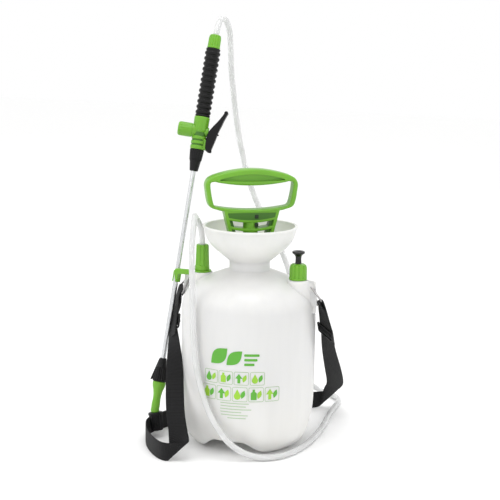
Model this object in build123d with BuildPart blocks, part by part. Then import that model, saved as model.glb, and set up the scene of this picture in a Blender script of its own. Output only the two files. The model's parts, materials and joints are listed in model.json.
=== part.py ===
"""Garden pressure sprayer: tank with funnel mouth, hand pump, relief valve, hose, lance and shoulder strap.

Millimetres, +Z up. The origin is on the tank's axis at the floor. The two bosses of the tank lie on the
X axis: the outlet on -X, the relief valve on +X.
"""
from build123d import *
import math
import os

os.makedirs("parts", exist_ok=True)

# ---------------------------------------------------------------- driving dimensions
CLEARANCE = 0.05          # radial running clearance
SEAT_GAP = 0.3            # gap between two faces that only come near each other
THREAD_GAP = 0.05         # radial gap of a plain thread

TANK_RADIUS = 95.0
TANK_WALL = 2.6
SHOULDER_Z = 200.0        # top of the straight wall
DOME_TOP_Z = 248.0        # where the dome meets the neck
BASE_CORNER = 34.0        # rounding of the base's outer edge
FOOT_RADIUS = 66.0        # middle of the foot pads
FOOT_PAD = 16.0           # radial width of the flat pads
FOOT_COUNT = 3
ARCH_RISE = 15.0          # height of the valleys between the feet
ARCH_RADIUS = 53.0
ARCH_TILT = 3.0           # the valleys rise outwards
ARCH_START = 30.0         # the middle of the base, inside this radius, stays flat

NECK_RADIUS = 28.7
NECK_TOP_Z = 261.0
FUNNEL_RIM_Z = 312.0
FUNNEL_RADIUS = 65.5
LIP = 1.6                 # bead of the funnel's rim

BOSS_X = 72.0
BOSS_TOP_Z = 240.0
BOSS_RADIUS = 15.0
STUB_RADIUS = 8.0
STUB_TOP_Z = 252.0
STUB_BORE = 5.6
TAB_OUT = 98.6            # outer edge of the flat tab
TAB_BOTTOM_Z = 196.0
TAB_THICKNESS = 3.6
TAB_HOLE_X = 91.0
TAB_HOLE_Z = 231.0
TAB_HOLE_RADIUS = 5.2

BARREL_BORE = 19.0        # radius
BARREL_WALL = 2.0
BARREL_BOTTOM_Z = 52.0
BARREL_TOP_Z = 262.0
BARREL_FLOOR = 4.0
ROD_RADIUS = 7.0
ROD_END_RADIUS = 4.0
PISTON_Z = 64.0
PISTON_HEIGHT = 16.0
STROKE = 155.0
CAP_TOP_Z = 288.0
CAP_RADIUS = 29.0
CAP_GRIPS = 12
GASKET_HEIGHT = 2.0

HANDLE_TURN = 32.0        # locked position, about Z from the boss axis
HANDLE_TOP_Z = 392.0
HANDLE_WIDTH = 132.0
HANDLE_DEPTH = 22.0
HANDLE_BAR = 23.0         # height of the grip at its middle
HANDLE_SIDE = 9.0
LOWER_BAR_Z = 330.5       # underside of the lower bar
LOWER_BAR = 8.0
FRAME_TOP_WIDTH = 80.0
FRAME_LOW_WIDTH = 56.0
FRAME_WALL = 5.0
COLUMN_RADIUS = 10.5
RIB = 3.0
RIB_HEIGHTS = (317.5, 303.0)

OUTLET_NUT_HEIGHT = 37.0
OUTLET_NUT_RADIUS = 10.3
OUTLET_NUT_TOP_RADIUS = 8.4
NUT_GAP_Z = 2.2           # room for the clip's eye or a gasket under a nut

RELIEF_RADIUS = 12.5
RELIEF_HEIGHT = 22.6
RELIEF_LIFT = 4.0
RELIEF_STEM = 2.0
KNOB_RADIUS = 9.0
KNOB_STEM = 4.25
KNOB_TOP_Z = 280.5

HOSE_DIAMETER = 8.5
STRAP_WIDTH = 25.0
STRAP_THICKNESS = 1.5
RING_WIRE = 1.3           # radius
RING_CORNER = 2.6
RING_HEIGHT = 24.0
RING_HALF_WIDTH = 16.0
SLIDER_SIZE = (32.0, 22.0, 2.0)
SLIDER_BAR = 3.0

LANCE_FOOT = Vector(-126.6, -41.4, 39.0)      # where the elbow's two axes meet
LANCE_CLIP = Vector(-112.2, 1.0, 229.1)       # the tube's axis in the clip
NOZZLE_TIP = Vector(-121.5, -43.8, 9.5)
LANCE_FACE = 19.8         # azimuth of the trigger's side
TUBE_RADIUS = 3.7
TUBE_WALL = 0.8
ELBOW_TOP = 41.5          # the stations below are along the lance, from LANCE_FOOT
TUBE_NUT_TOP = 75.5
LANCE_NUT_LOW = 349.0
VALVE_LOW = 381.0
VALVE_HIGH = 428.0
GRIP_TOP = 528.0
LANCE_TOP = 548.0
GRIP_RADIUS = 10.6
GRIP_RIBS = 12
VALVE_RADIUS = 10.5
STEM_S = 407.0            # station of the valve's cross axis
STEM_RADIUS = 2.5
STEM_TRAVEL = 3.6
PIVOT_X = 16.0
PIVOT_S = 384.0
PIN_RADIUS = 1.6
TRIGGER_WIDTH = 12.0
TRIGGER_TIP = (35.0, 438.0)

# ---------------------------------------------------------------- routes chosen by hand
HOSE_ROUTE = [
    (-87, 75, 561), (-85, 80, 582), (-87, 98, 596), (-87, 121, 595), (-87, 137, 578), (-87, 142, 553),
    (-88, 147, 522), (-84, 150, 479), (-77, 149, 434), (-69, 145, 403), (-60, 142, 371), (-47, 139, 337),
    (-32, 137, 308), (-15, 139, 278), (1, 146, 247), (12, 152, 210), (15, 161, 174), (14, 172, 136),
    (13, 186, 98), (12, 205, 62), (14, 224, 36), (24, 236, 18), (44, 243, 6), (68, 234, 4.4),
    (78, 210, 4.4), (79, 172, 4.4), (83, 132, 4.4), (89, 92, 4.4), (94, 33, 4.4), (91, -20, 4.4),
    (81, -59, 4.4), (61, -83, 4.4), (36, -93, 8), (13, -102, 23), (-3, -104, 42), (-17, -102, 61),
    (-28, -99, 84), (-37, -96, 109), (-44, -93, 139), (-48, -92, 179), (-50, -89, 229), (-55, -82, 283),
    (-58, -70, 310), (-65, -47, 327), (-76, -20, 323), (-72, 0, 300), (-72, 0, 268),
]

# centre of the webbing, and the direction of its width
STRAP_ROUTE = [
    ((-105.2, -1, 203.5), (0.55, -0.835, 0)), ((-106.2, -6, 188), (0.58, -0.81, 0)),
    ((-106.5, -15.5, 163), (0.62, -0.79, 0)), ((-96, -43, 136), (0.93, -0.36, 0)),
    ((-90, -59, 110), (1, 0.09, 0)), ((-78, -83, 83), (0.94, 0.34, 0)),
    ((-67, -106, 59), (0.94, 0.34, 0)), ((-55, -120, 42), (0.95, 0.3, 0)),
    ((-42.4, -133.3, 25.5), (0.97, 0.24, 0)), ((-46.5, -134.8, 14.9), (0.68, 0.17, -0.71)),
    ((-58, -137.2, 12.9), (0, 0, -1)), ((-80, -132, 12.9), (0, 0, -1)),
    ((-99, -114, 12.9), (0, 0, -1)), ((-116, -92, 12.9), (0, 0, -1)),
    ((-129, -68, 12.9), (0, 0, -1)), ((-138, -44, 12.9), (0, 0, -1)),
    ((-135, -20, 12.9), (0, 0, -1)), ((-124, 8, 12.9), (0, 0, -1)),
    ((-112, 36, 12.9), (0, 0, -1)), ((-98, 61, 12.9), (0, 0, -1)),
    ((-75, 86, 12.9), (0, 0, -1)), ((-41, 112, 12.9), (0, 0, -1)),
    ((-7, 134, 12.9), (0, 0, -1)), ((27, 160, 12.9), (0, 0, -1)),
    ((52, 186, 12.9), (0, 0, -1)), ((63.5, 191, 14.9), (0.66, 0.24, -0.70)),
    ((68, 192, 25.5), (0.94, 0.34, 0)), ((85, 163, 48), (0.94, 0.34, 0)),
    ((94, 113, 86), (1, 0.04, 0)), ((101, 63, 128), (0.93, -0.37, 0)),
    ((105.4, 29.5, 161.5), (0.76, -0.64, 0)), ((107, 11, 190), (0.68, -0.73, 0)),
    ((106.4, 3, 201), (0.6, -0.8, 0)),
]
LEFT_SLIDER, RIGHT_SLIDER = 2, 30             # stations of the route

# ---------------------------------------------------------------- worked-out planes and axes
BARREL_RADIUS = BARREL_BORE + BARREL_WALL
NECK_BORE = NECK_RADIUS - TANK_WALL
HOSE_RADIUS = HOSE_DIAMETER / 2
CAVITY_FLOOR = ARCH_RISE + 14.0
HANDLE_FOOT_Z = CAP_TOP_Z + SEAT_GAP
NUT_FOOT_Z = BOSS_TOP_Z + NUT_GAP_Z
RING_DIRECTIONS = {
    "left": Vector(-0.53, 0, -0.85), "right": Vector(0.55, 0, -0.83),
}
RING_BARS = {"left": Vector(0.55, -0.835, 0), "right": Vector(0.6, -0.8, 0)}

lance_direction = (LANCE_CLIP - LANCE_FOOT).normalized()
face = Vector(math.cos(math.radians(LANCE_FACE)), math.sin(math.radians(LANCE_FACE)), 0)
lance_side = (face - lance_direction * face.dot(lance_direction)).normalized()
lance = Plane(origin=LANCE_FOOT, x_dir=lance_side, z_dir=lance_direction)
lance_section = Plane(origin=LANCE_FOOT, x_dir=lance_side, z_dir=-lance.y_dir)
lance_axis = Axis(LANCE_FOOT, lance_direction)

nozzle_direction = (NOZZLE_TIP - LANCE_FOOT).normalized()
NOZZLE_LENGTH = (NOZZLE_TIP - LANCE_FOOT).length
nozzle_side = (face - nozzle_direction * face.dot(nozzle_direction)).normalized()
nozzle = Plane(origin=LANCE_FOOT, x_dir=nozzle_side, z_dir=nozzle_direction)
nozzle_section = Plane(origin=LANCE_FOOT, x_dir=nozzle_side, z_dir=-nozzle.y_dir)
nozzle_axis = Axis(LANCE_FOOT, nozzle_direction)

stem_axis = Axis(lance.from_local_coords((0, 0, STEM_S)), lance_side)
lance_middle = Plane(origin=LANCE_FOOT, x_dir=lance_side, z_dir=-lance.y_dir)

outlet_section = Plane(origin=(-BOSS_X, 0, 0), x_dir=(1, 0, 0), z_dir=(0, -1, 0))
outlet_axis = Axis((-BOSS_X, 0, 0), (0, 0, 1))
relief_section = Plane(origin=(BOSS_X, 0, 0), x_dir=(1, 0, 0), z_dir=(0, -1, 0))
relief_axis = Axis((BOSS_X, 0, 0), (0, 0, 1))

turned_x = (math.cos(math.radians(HANDLE_TURN)), math.sin(math.radians(HANDLE_TURN)), 0)
handle_face = Plane(origin=(0, 0, 0), x_dir=turned_x, z_dir=(turned_x[1], -turned_x[0], 0))


def turn(points, plane, axis, mode=Mode.ADD):
    """Revolve a closed outline about an axis, inside the active part."""
    with BuildSketch(plane) as outline:
        with BuildLine():
            Polyline(*points, close=True)
        make_face()
    revolve(outline.sketch, axis=axis, mode=mode)


def ring_of(inner, outer, low, high):
    """Outline of a plain ring."""
    return [(inner, low), (outer, low), (outer, high), (inner, high)]


def grooves(plane, count, radius, groove, low, high):
    """Cut upright grooves round a cap."""
    with BuildSketch(plane.offset(low)) as groove_ends:
        with PolarLocations(radius, count):
            Circle(groove)
    extrude(groove_ends.sketch, amount=high - low, mode=Mode.SUBTRACT)


def bend_radius(before, corner, after):
    """Radius of the arc at a corner of a cord's route: 0.45 of the shorter run over tan of half the turn."""
    run_in = Vector(*corner) - Vector(*before)
    run_out = Vector(*after) - Vector(*corner)
    half_turn = math.radians(run_in.get_angle(run_out)) / 2
    return 0.45 * min(run_in.length, run_out.length) / math.tan(half_turn)


# ================================================================ tank
with BuildPart() as tank:
    with BuildSketch(Plane.XZ):
        with BuildLine():
            floor_line = Line((0, 0), (FOOT_RADIUS + FOOT_PAD / 2, 0))
            base_edge = Spline(
                floor_line @ 1, (88.5, 18), (93.6, 48), (TANK_RADIUS, 110),
                tangents=((1, 0.1), (0, 1)),
            )
            wall = Line(base_edge @ 1, (TANK_RADIUS, SHOULDER_Z))
            dome = Spline(
                wall @ 1, (80, 226), (48, 243), (NECK_RADIUS, DOME_TOP_Z + 2),
                tangents=((0, 1), (-1, 0.25)),
            )
            neck = Line(dome @ 1, (NECK_RADIUS, NECK_TOP_Z))
            bowl = Spline(
                neck @ 1, (44.5, 273.5), (57.5, 288), (FUNNEL_RADIUS, FUNNEL_RIM_Z - 2),
                tangents=((1, 0.35), (0, 1)),
            )
            Polyline(bowl @ 1, (FUNNEL_RADIUS, FUNNEL_RIM_Z), (0, FUNNEL_RIM_Z), (0, 0))
        make_face()
    revolve(axis=Axis.Z)
    # rim bead
    turn(ring_of(FUNNEL_RADIUS - TANK_WALL, FUNNEL_RADIUS + LIP, FUNNEL_RIM_Z - 2.4, FUNNEL_RIM_Z),
         Plane.XZ, Axis.Z)
    # valleys between the feet
    for foot in range(FOOT_COUNT):
        valley = math.radians(-90 + foot * 360 / FOOT_COUNT)
        tilt = math.radians(ARCH_TILT)
        outward = Vector(math.cos(valley) * math.cos(tilt), math.sin(valley) * math.cos(tilt), math.sin(tilt))
        arch_start = Vector(0, 0, ARCH_RISE - ARCH_RADIUS) + outward * ARCH_START
        with BuildSketch(Plane(origin=arch_start, z_dir=outward)):
            Circle(ARCH_RADIUS)
        extrude(amount=FOOT_RADIUS * 3, mode=Mode.SUBTRACT)
    # bosses with their stubs, and the flat tabs with the ring holes
    for side in (-1, 1):
        with BuildSketch(Plane.XY.offset(TAB_BOTTOM_Z)):
            with Locations((side * BOSS_X, 0)):
                Circle(BOSS_RADIUS)
        extrude(amount=BOSS_TOP_Z - TAB_BOTTOM_Z)
        with BuildSketch(Plane.XY.offset(BOSS_TOP_Z)):
            with Locations((side * BOSS_X, 0)):
                Circle(STUB_RADIUS)
        extrude(amount=STUB_TOP_Z - BOSS_TOP_Z)
        with BuildSketch(Plane.XZ):
            with Locations((side * (TAB_OUT + BOSS_X) / 2, (TAB_BOTTOM_Z + BOSS_TOP_Z) / 2)):
                Rectangle(TAB_OUT - BOSS_X, BOSS_TOP_Z - TAB_BOTTOM_Z)
            with Locations((side * TAB_HOLE_X, TAB_HOLE_Z)):
                Circle(TAB_HOLE_RADIUS, mode=Mode.SUBTRACT)
        extrude(amount=TAB_THICKNESS / 2, both=True)
    # inside: cavity, neck, bowl and the two bores
    with BuildSketch(Plane.XZ):
        with BuildLine():
            inside = TANK_RADIUS - TANK_WALL
            sump = Line((0, CAVITY_FLOOR), (60, CAVITY_FLOOR))
            sump_edge = Spline(sump @ 1, (84, 44), (90.5, 70), (inside, 112), tangents=((1, 0), (0, 1)))
            inner_wall = Line(sump_edge @ 1, (inside, SHOULDER_Z))
            inner_dome = Spline(
                inner_wall @ 1, (78.2, 223.6), (47.2, 240.2), (NECK_BORE, DOME_TOP_Z - 1),
                tangents=((0, 1), (-1, 0.25)),
            )
            inner_neck = Line(inner_dome @ 1, (NECK_BORE, NECK_TOP_Z + 2.5))
            ledge = Line(inner_neck @ 1, (NECK_RADIUS + 2, NECK_TOP_Z + 2.8))
            inner_bowl = Spline(
                ledge @ 1, (43, 276.2), (55.3, 289.5), (FUNNEL_RADIUS - TANK_WALL, FUNNEL_RIM_Z - 2),
                tangents=((1, 0.35), (0, 1)),
            )
            Polyline(inner_bowl @ 1, (FUNNEL_RADIUS - TANK_WALL, FUNNEL_RIM_Z), (0, FUNNEL_RIM_Z),
                     (0, CAVITY_FLOOR))
        make_face()
    revolve(axis=Axis.Z, mode=Mode.SUBTRACT)
    for side in (-1, 1):
        with BuildSketch(Plane.XY.offset(TAB_BOTTOM_Z)):
            with Locations((side * BOSS_X, 0)):
                Circle(STUB_BORE)
        extrude(amount=STUB_TOP_Z - TAB_BOTTOM_Z, mode=Mode.SUBTRACT)

# ================================================================ pump
CAP_SEAT_Z = NECK_TOP_Z + 2.8 + GASKET_HEIGHT
with BuildPart() as barrel_gasket:
    turn(ring_of(NECK_BORE + 0.3, NECK_RADIUS + 1.0, NECK_TOP_Z + 2.8, CAP_SEAT_Z), Plane.XZ, Axis.Z)

with BuildPart() as pump_cap:
    chamber_top = CAP_TOP_Z - 10
    turn([(ROD_RADIUS + CLEARANCE, chamber_top), (14, chamber_top), (14, BARREL_TOP_Z),
          (BARREL_RADIUS + THREAD_GAP, BARREL_TOP_Z), (BARREL_RADIUS + THREAD_GAP, DOME_TOP_Z - 8),
          (NECK_BORE - THREAD_GAP, DOME_TOP_Z - 8), (NECK_BORE - THREAD_GAP, CAP_SEAT_Z),
          (CAP_RADIUS, CAP_SEAT_Z), (CAP_RADIUS + 2, CAP_SEAT_Z + 4), (CAP_RADIUS + 2, CAP_TOP_Z - 1.5),
          (CAP_RADIUS + 0.5, CAP_TOP_Z), (ROD_RADIUS + CLEARANCE, CAP_TOP_Z)], Plane.XZ, Axis.Z)
    grooves(Plane.XY, CAP_GRIPS, CAP_RADIUS + 3.2, 3.2, CAP_SEAT_Z + 4, CAP_TOP_Z)

with BuildPart() as pump_barrel:
    turn([(0, BARREL_BOTTOM_Z), (BARREL_RADIUS, BARREL_BOTTOM_Z), (BARREL_RADIUS, BARREL_TOP_Z),
          (BARREL_BORE, BARREL_TOP_Z), (BARREL_BORE, BARREL_BOTTOM_Z + BARREL_FLOOR),
          (0, BARREL_BOTTOM_Z + BARREL_FLOOR)], Plane.XZ, Axis.Z)
    with BuildSketch(Plane.XY.offset(BARREL_BOTTOM_Z)):
        Circle(2.0)
        with PolarLocations(8, 6):
            Circle(1.8)
    extrude(amount=BARREL_FLOOR, mode=Mode.SUBTRACT)

with BuildPart() as foot_valve:
    valve_top = BARREL_BOTTOM_Z
    turn([(0, valve_top - 3), (6, valve_top - 2.4), (11.5, valve_top - 0.8), (11.5, valve_top), (2.0, valve_top),
          (2.0, valve_top + BARREL_FLOOR), (3.2, valve_top + BARREL_FLOOR), (2.2, valve_top + BARREL_FLOOR + 2.5),
          (0, valve_top + BARREL_FLOOR + 2.5)], Plane.XZ, Axis.Z)

with BuildPart() as piston_rod:
    rod_top = LOWER_BAR_Z
    turn([(0, PISTON_Z - 4), (ROD_END_RADIUS, PISTON_Z - 4), (ROD_END_RADIUS, PISTON_Z + PISTON_HEIGHT + CLEARANCE),
          (ROD_RADIUS, PISTON_Z + PISTON_HEIGHT + CLEARANCE), (ROD_RADIUS, rod_top), (0, rod_top)],
         Plane.XZ, Axis.Z)

with BuildPart() as rod_end_nut:
    nut_top = PISTON_Z - CLEARANCE
    with BuildSketch(Plane.XY.offset(PISTON_Z - 4)):
        RegularPolygon(7.2, 6)
        Circle(ROD_END_RADIUS, mode=Mode.SUBTRACT)
    extrude(amount=nut_top - (PISTON_Z - 4))

PISTON_RADIUS = BARREL_BORE - 0.6
with BuildPart() as piston:
    bore = ROD_END_RADIUS + CLEARANCE
    groove_low, groove_high, groove_root = PISTON_Z + 5, PISTON_Z + 11, PISTON_RADIUS - 3
    turn([(bore, PISTON_Z), (PISTON_RADIUS, PISTON_Z), (PISTON_RADIUS, groove_low), (groove_root, groove_low),
          (groove_root, groove_high), (PISTON_RADIUS, groove_high), (PISTON_RADIUS, PISTON_Z + PISTON_HEIGHT),
          (bore, PISTON_Z + PISTON_HEIGHT)], Plane.XZ, Axis.Z)

with BuildPart() as piston_cup:
    turn(ring_of(groove_root, BARREL_BORE - CLEARANCE, groove_low, groove_high), Plane.XZ, Axis.Z)

# ================================================================ pump handle
with BuildPart() as pump_handle:
    half = HANDLE_WIDTH / 2
    shoulder_z = HANDLE_TOP_Z - 9
    bar_end_z = LOWER_BAR_Z + 10
    with BuildSketch(handle_face):
        with BuildLine():
            top = ThreePointArc((-half + 12, shoulder_z), (0, HANDLE_TOP_Z), (half - 12, shoulder_z))
            right_end = Spline(top @ 1, (half - 1.5, shoulder_z - 12), (half - 4, shoulder_z - 36),
                               (half - 22, bar_end_z - 4), tangents=((1, -0.3), (-1, -0.15)))
            bottom = ThreePointArc(right_end @ 1, (0, LOWER_BAR_Z), (-half + 22, bar_end_z - 4))
            Spline(bottom @ 1, (-half + 4, shoulder_z - 36), (-half + 1.5, shoulder_z - 12), top @ 0,
                   tangents=((-1, 0.15), (1, 0.3)))
        make_face()
        # the grip opening
        under = HANDLE_TOP_Z - HANDLE_BAR
        inner = half - HANDLE_SIDE
        opening_low = LOWER_BAR_Z + LOWER_BAR
        with BuildLine(mode=Mode.ADD):
            grip_under = ThreePointArc((-inner + 4, under + 5), (0, under), (inner - 4, under + 5))
            side_down = Polyline(grip_under @ 1, (inner, under + 1), (inner - 4, opening_low + 8),
                                 (inner - 10, opening_low + 4.5))
            floor_arc = ThreePointArc(side_down @ 1, (0, opening_low), (-inner + 10, opening_low + 4.5))
            Polyline(floor_arc @ 1, (-inner + 4, opening_low + 8), (-inner, under + 1), grip_under @ 0)
        make_face(mode=Mode.SUBTRACT)
    extrude(amount=HANDLE_DEPTH / 2, both=True)
    # recess in the front of the grip
    with BuildSketch(handle_face.offset(HANDLE_DEPTH / 2)):
        with BuildLine():
            arch = ThreePointArc((-44, HANDLE_TOP_Z - 15.5), (0, HANDLE_TOP_Z - 8), (44, HANDLE_TOP_Z - 15.5))
            ThreePointArc(arch @ 1, (0, HANDLE_TOP_Z - 17.5), arch @ 0)
        make_face()
    extrude(amount=-HANDLE_DEPTH + 4, mode=Mode.SUBTRACT)
    # frame down into the funnel
    frame_top = LOWER_BAR_Z + 5
    with BuildSketch(handle_face):
        with BuildLine():
            Polyline((-FRAME_LOW_WIDTH / 2, HANDLE_FOOT_Z), (FRAME_LOW_WIDTH / 2, HANDLE_FOOT_Z),
                     (FRAME_TOP_WIDTH / 2, frame_top), (-FRAME_TOP_WIDTH / 2, frame_top), close=True)
        make_face()
        with BuildLine():
            Polyline((-FRAME_LOW_WIDTH / 2 + FRAME_WALL + 0.5, HANDLE_FOOT_Z + RIB),
                     (FRAME_LOW_WIDTH / 2 - FRAME_WALL - 0.5, HANDLE_FOOT_Z + RIB),
                     (FRAME_TOP_WIDTH / 2 - FRAME_WALL - 1, LOWER_BAR_Z + 1),
                     (-FRAME_TOP_WIDTH / 2 + FRAME_WALL + 1, LOWER_BAR_Z + 1), close=True)
        make_face(mode=Mode.SUBTRACT)
        for rib_z in RIB_HEIGHTS:
            rib_share = (rib_z - HANDLE_FOOT_Z) / (frame_top - HANDLE_FOOT_Z)
            rib_width = FRAME_LOW_WIDTH + rib_share * (FRAME_TOP_WIDTH - FRAME_LOW_WIDTH) - FRAME_WALL
            with Locations((0, rib_z)):
                Rectangle(rib_width, RIB)
    extrude(amount=HANDLE_DEPTH / 2 - 1, both=True)
    # column round the rod
    with BuildSketch(Plane.XY.offset(HANDLE_FOOT_Z)):
        Circle(COLUMN_RADIUS)
    extrude(amount=LOWER_BAR_Z + 4 - HANDLE_FOOT_Z)
    with BuildSketch(Plane.XY.offset(HANDLE_FOOT_Z)):
        Circle(ROD_RADIUS)
    extrude(amount=LOWER_BAR_Z - HANDLE_FOOT_Z, mode=Mode.SUBTRACT)

# ================================================================ outlet
OUTLET_TOP_Z = NUT_FOOT_Z + OUTLET_NUT_HEIGHT
HOSE_SEAT_Z = HOSE_ROUTE[-1][2]
with BuildPart() as outlet_nut:
    bore = STUB_RADIUS + THREAD_GAP
    throat = HOSE_RADIUS + SEAT_GAP
    turn([(bore, NUT_FOOT_Z), (OUTLET_NUT_RADIUS, NUT_FOOT_Z), (OUTLET_NUT_RADIUS, NUT_FOOT_Z + 6),
          (OUTLET_NUT_RADIUS - 0.7, NUT_FOOT_Z + 6.6), (OUTLET_NUT_TOP_RADIUS, OUTLET_TOP_Z - 1.5),
          (OUTLET_NUT_TOP_RADIUS - 1.2, OUTLET_TOP_Z), (throat, OUTLET_TOP_Z), (throat, STUB_TOP_Z + 6),
          (bore, STUB_TOP_Z + 4)], outlet_section, outlet_axis)
    grooves(Plane.XY.move(Location((-BOSS_X, 0, 0))), 10, OUTLET_NUT_RADIUS + 0.4, 1.6, NUT_FOOT_Z + 7, OUTLET_TOP_Z)

with BuildPart() as outlet_barb:
    turn([(1.6, 205), (STUB_BORE - 1.8, 205), (STUB_BORE - 1.8, 222), (STUB_BORE - 0.05, 224),
          (STUB_BORE - 0.05, STUB_TOP_Z + 1), (STUB_RADIUS - 0.3, STUB_TOP_Z + 1), (STUB_RADIUS - 0.3, STUB_TOP_Z + 2.4),
          (3.6, STUB_TOP_Z + 3.5), (3.6, HOSE_SEAT_Z), (1.6, HOSE_SEAT_Z)], outlet_section, outlet_axis)

with BuildPart() as outlet_gasket:
    turn(ring_of(STUB_BORE + 0.1, STUB_RADIUS - 0.4, STUB_TOP_Z, STUB_TOP_Z + 1), outlet_section, outlet_axis)

with BuildPart() as dip_tube:
    turn(ring_of(STUB_BORE - 1.8, STUB_BORE - 0.6, CAVITY_FLOOR + 10, 221), outlet_section, outlet_axis)

with BuildPart() as dip_filter:
    filter_low = CAVITY_FLOOR + 6
    turn([(0, filter_low), (5.6, filter_low), (5.6, filter_low + 4), (0, filter_low + 4)],
         outlet_section, outlet_axis)
    with BuildSketch(Plane.XY.offset(filter_low)):
        with Locations((-BOSS_X, 0)):
            with PolarLocations(3.2, 6):
                Circle(0.9)
    extrude(amount=4, mode=Mode.SUBTRACT)

# ================================================================ lance clip
CLIP_WALL = 2.6
CLIP_LENGTH = 15.0
clip_station = (LANCE_CLIP - LANCE_FOOT).length
with BuildPart() as lance_clip:
    with BuildSketch(Plane.XY.offset(BOSS_TOP_Z)):
        with Locations((-BOSS_X, 0)):
            Circle(STUB_RADIUS + 5.5)
        with Locations((-92, -10)):
            Rectangle(34, 5)
        with Locations((-BOSS_X, 0)):
            Circle(STUB_RADIUS + 0.1, mode=Mode.SUBTRACT)
    extrude(amount=NUT_GAP_Z - 0.1)
    # upright arm out to the lance
    with BuildSketch(Plane.XZ.offset(7.5)):
        with Locations((-99.6, BOSS_TOP_Z - 1)):
            Rectangle(20.8, 8.2)
    extrude(amount=5)
    # open ring on the lance
    with BuildSketch(lance.offset(clip_station - CLIP_LENGTH / 2)):
        Circle(TUBE_RADIUS + CLIP_WALL)
        Circle(TUBE_RADIUS + 0.1, mode=Mode.SUBTRACT)
        with Locations((-6, 3)):
            Rectangle(9, 4.6, rotation=-25, mode=Mode.SUBTRACT)
    extrude(amount=CLIP_LENGTH)
    # neck between arm and ring
    with BuildSketch(Plane.XY.offset(BOSS_TOP_Z - 5)):
        with Locations((-107.5, -7.4)):
            Rectangle(5, 7.6)
    extrude(amount=8.1)
    with BuildSketch(lance.offset(clip_station - CLIP_LENGTH)):
        Circle(TUBE_RADIUS + 0.1)
    extrude(amount=CLIP_LENGTH * 2, mode=Mode.SUBTRACT)

# ================================================================ relief valve
RELIEF_FOOT_Z = BOSS_TOP_Z + 0.3
RELIEF_TOP_Z = RELIEF_FOOT_Z + RELIEF_HEIGHT
RELIEF_PORT_Z = 234.0
SPRING_TOP_Z = RELIEF_TOP_Z - 5.0
DISC_Z = RELIEF_PORT_Z + 0.4
with BuildPart() as relief_cap:
    turn([(STUB_RADIUS + THREAD_GAP, RELIEF_FOOT_Z), (RELIEF_RADIUS, RELIEF_FOOT_Z),
          (RELIEF_RADIUS, RELIEF_TOP_Z - 4), (RELIEF_RADIUS - 1.6, RELIEF_TOP_Z - 1),
          (RELIEF_RADIUS - 3.4, RELIEF_TOP_Z), (RELIEF_STEM + CLEARANCE, RELIEF_TOP_Z),
          (RELIEF_STEM + CLEARANCE, SPRING_TOP_Z), (STUB_RADIUS + THREAD_GAP, SPRING_TOP_Z)],
         relief_section, relief_axis)
    grooves(Plane.XY.move(Location((BOSS_X, 0, 0))), 12, RELIEF_RADIUS + 0.5, 1.7, RELIEF_FOOT_Z + 3, RELIEF_TOP_Z)

with BuildPart() as relief_seat:
    turn([(1.6, RELIEF_PORT_Z - 4), (STUB_BORE - 0.05, RELIEF_PORT_Z - 4), (STUB_BORE - 0.05, STUB_TOP_Z),
          (STUB_RADIUS - 0.3, STUB_TOP_Z), (STUB_RADIUS - 0.3, STUB_TOP_Z + 2), (4.2, STUB_TOP_Z + 2),
          (4.2, RELIEF_PORT_Z), (1.6, RELIEF_PORT_Z)], relief_section, relief_axis)

with BuildPart() as relief_knob:
    stem_top = RELIEF_TOP_Z + SEAT_GAP
    turn([(0, DISC_Z), (3.9, DISC_Z), (3.9, DISC_Z + 2.4), (RELIEF_STEM, DISC_Z + 2.4), (RELIEF_STEM, stem_top),
          (KNOB_STEM, stem_top), (KNOB_STEM - 0.3, KNOB_TOP_Z - 8), (KNOB_RADIUS - 2, KNOB_TOP_Z - 3.6),
          (KNOB_RADIUS, KNOB_TOP_Z - 1.2), (KNOB_RADIUS - 0.6, KNOB_TOP_Z), (KNOB_RADIUS - 3, KNOB_TOP_Z - 1.4),
          (0, KNOB_TOP_Z - 2)], relief_section, relief_axis)

with BuildPart() as relief_washer:
    turn(ring_of(1.6, 3.4, DISC_Z - 0.35, DISC_Z), relief_section, relief_axis)

with BuildPart() as relief_spring:
    spring_low = DISC_Z + 2.4
    spring_high = SPRING_TOP_Z
    coil = 3.1
    wire = 0.45
    pitch = (spring_high - spring_low - 2 * wire) / 6
    with BuildLine():
        Helix(pitch=pitch, height=pitch * 6, radius=coil, center=(BOSS_X, 0, spring_low + wire))
    with BuildSketch(Plane(origin=(BOSS_X + coil, 0, spring_low + wire), z_dir=(0, 1, 0))):
        Circle(wire)
    sweep(is_frenet=True)

# ================================================================ strap hardware
rings = {}
for name, sign in (("left", -1), ("right", 1)):
    hang = RING_DIRECTIONS[name].normalized()
    bar = (RING_BARS[name] - hang * RING_BARS[name].dot(hang)).normalized()
    apex = Vector(sign * TAB_HOLE_X, 0, TAB_HOLE_Z) - hang * 3.6
    low = Vector(sign * TAB_HOLE_X, 0, TAB_HOLE_Z) + hang * RING_HEIGHT
    near = low + bar * RING_HALF_WIDTH
    far = low - bar * RING_HALF_WIDTH
    with BuildPart() as ring:
        with BuildLine() as ring_line:
            FilletPolyline(near, apex, far, radius=RING_CORNER, close=True)
        with BuildSketch(Plane(origin=ring_line.wire() @ 0, z_dir=ring_line.wire() % 0)):
            Circle(RING_WIRE)
        sweep()
    rings[name] = ring

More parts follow.
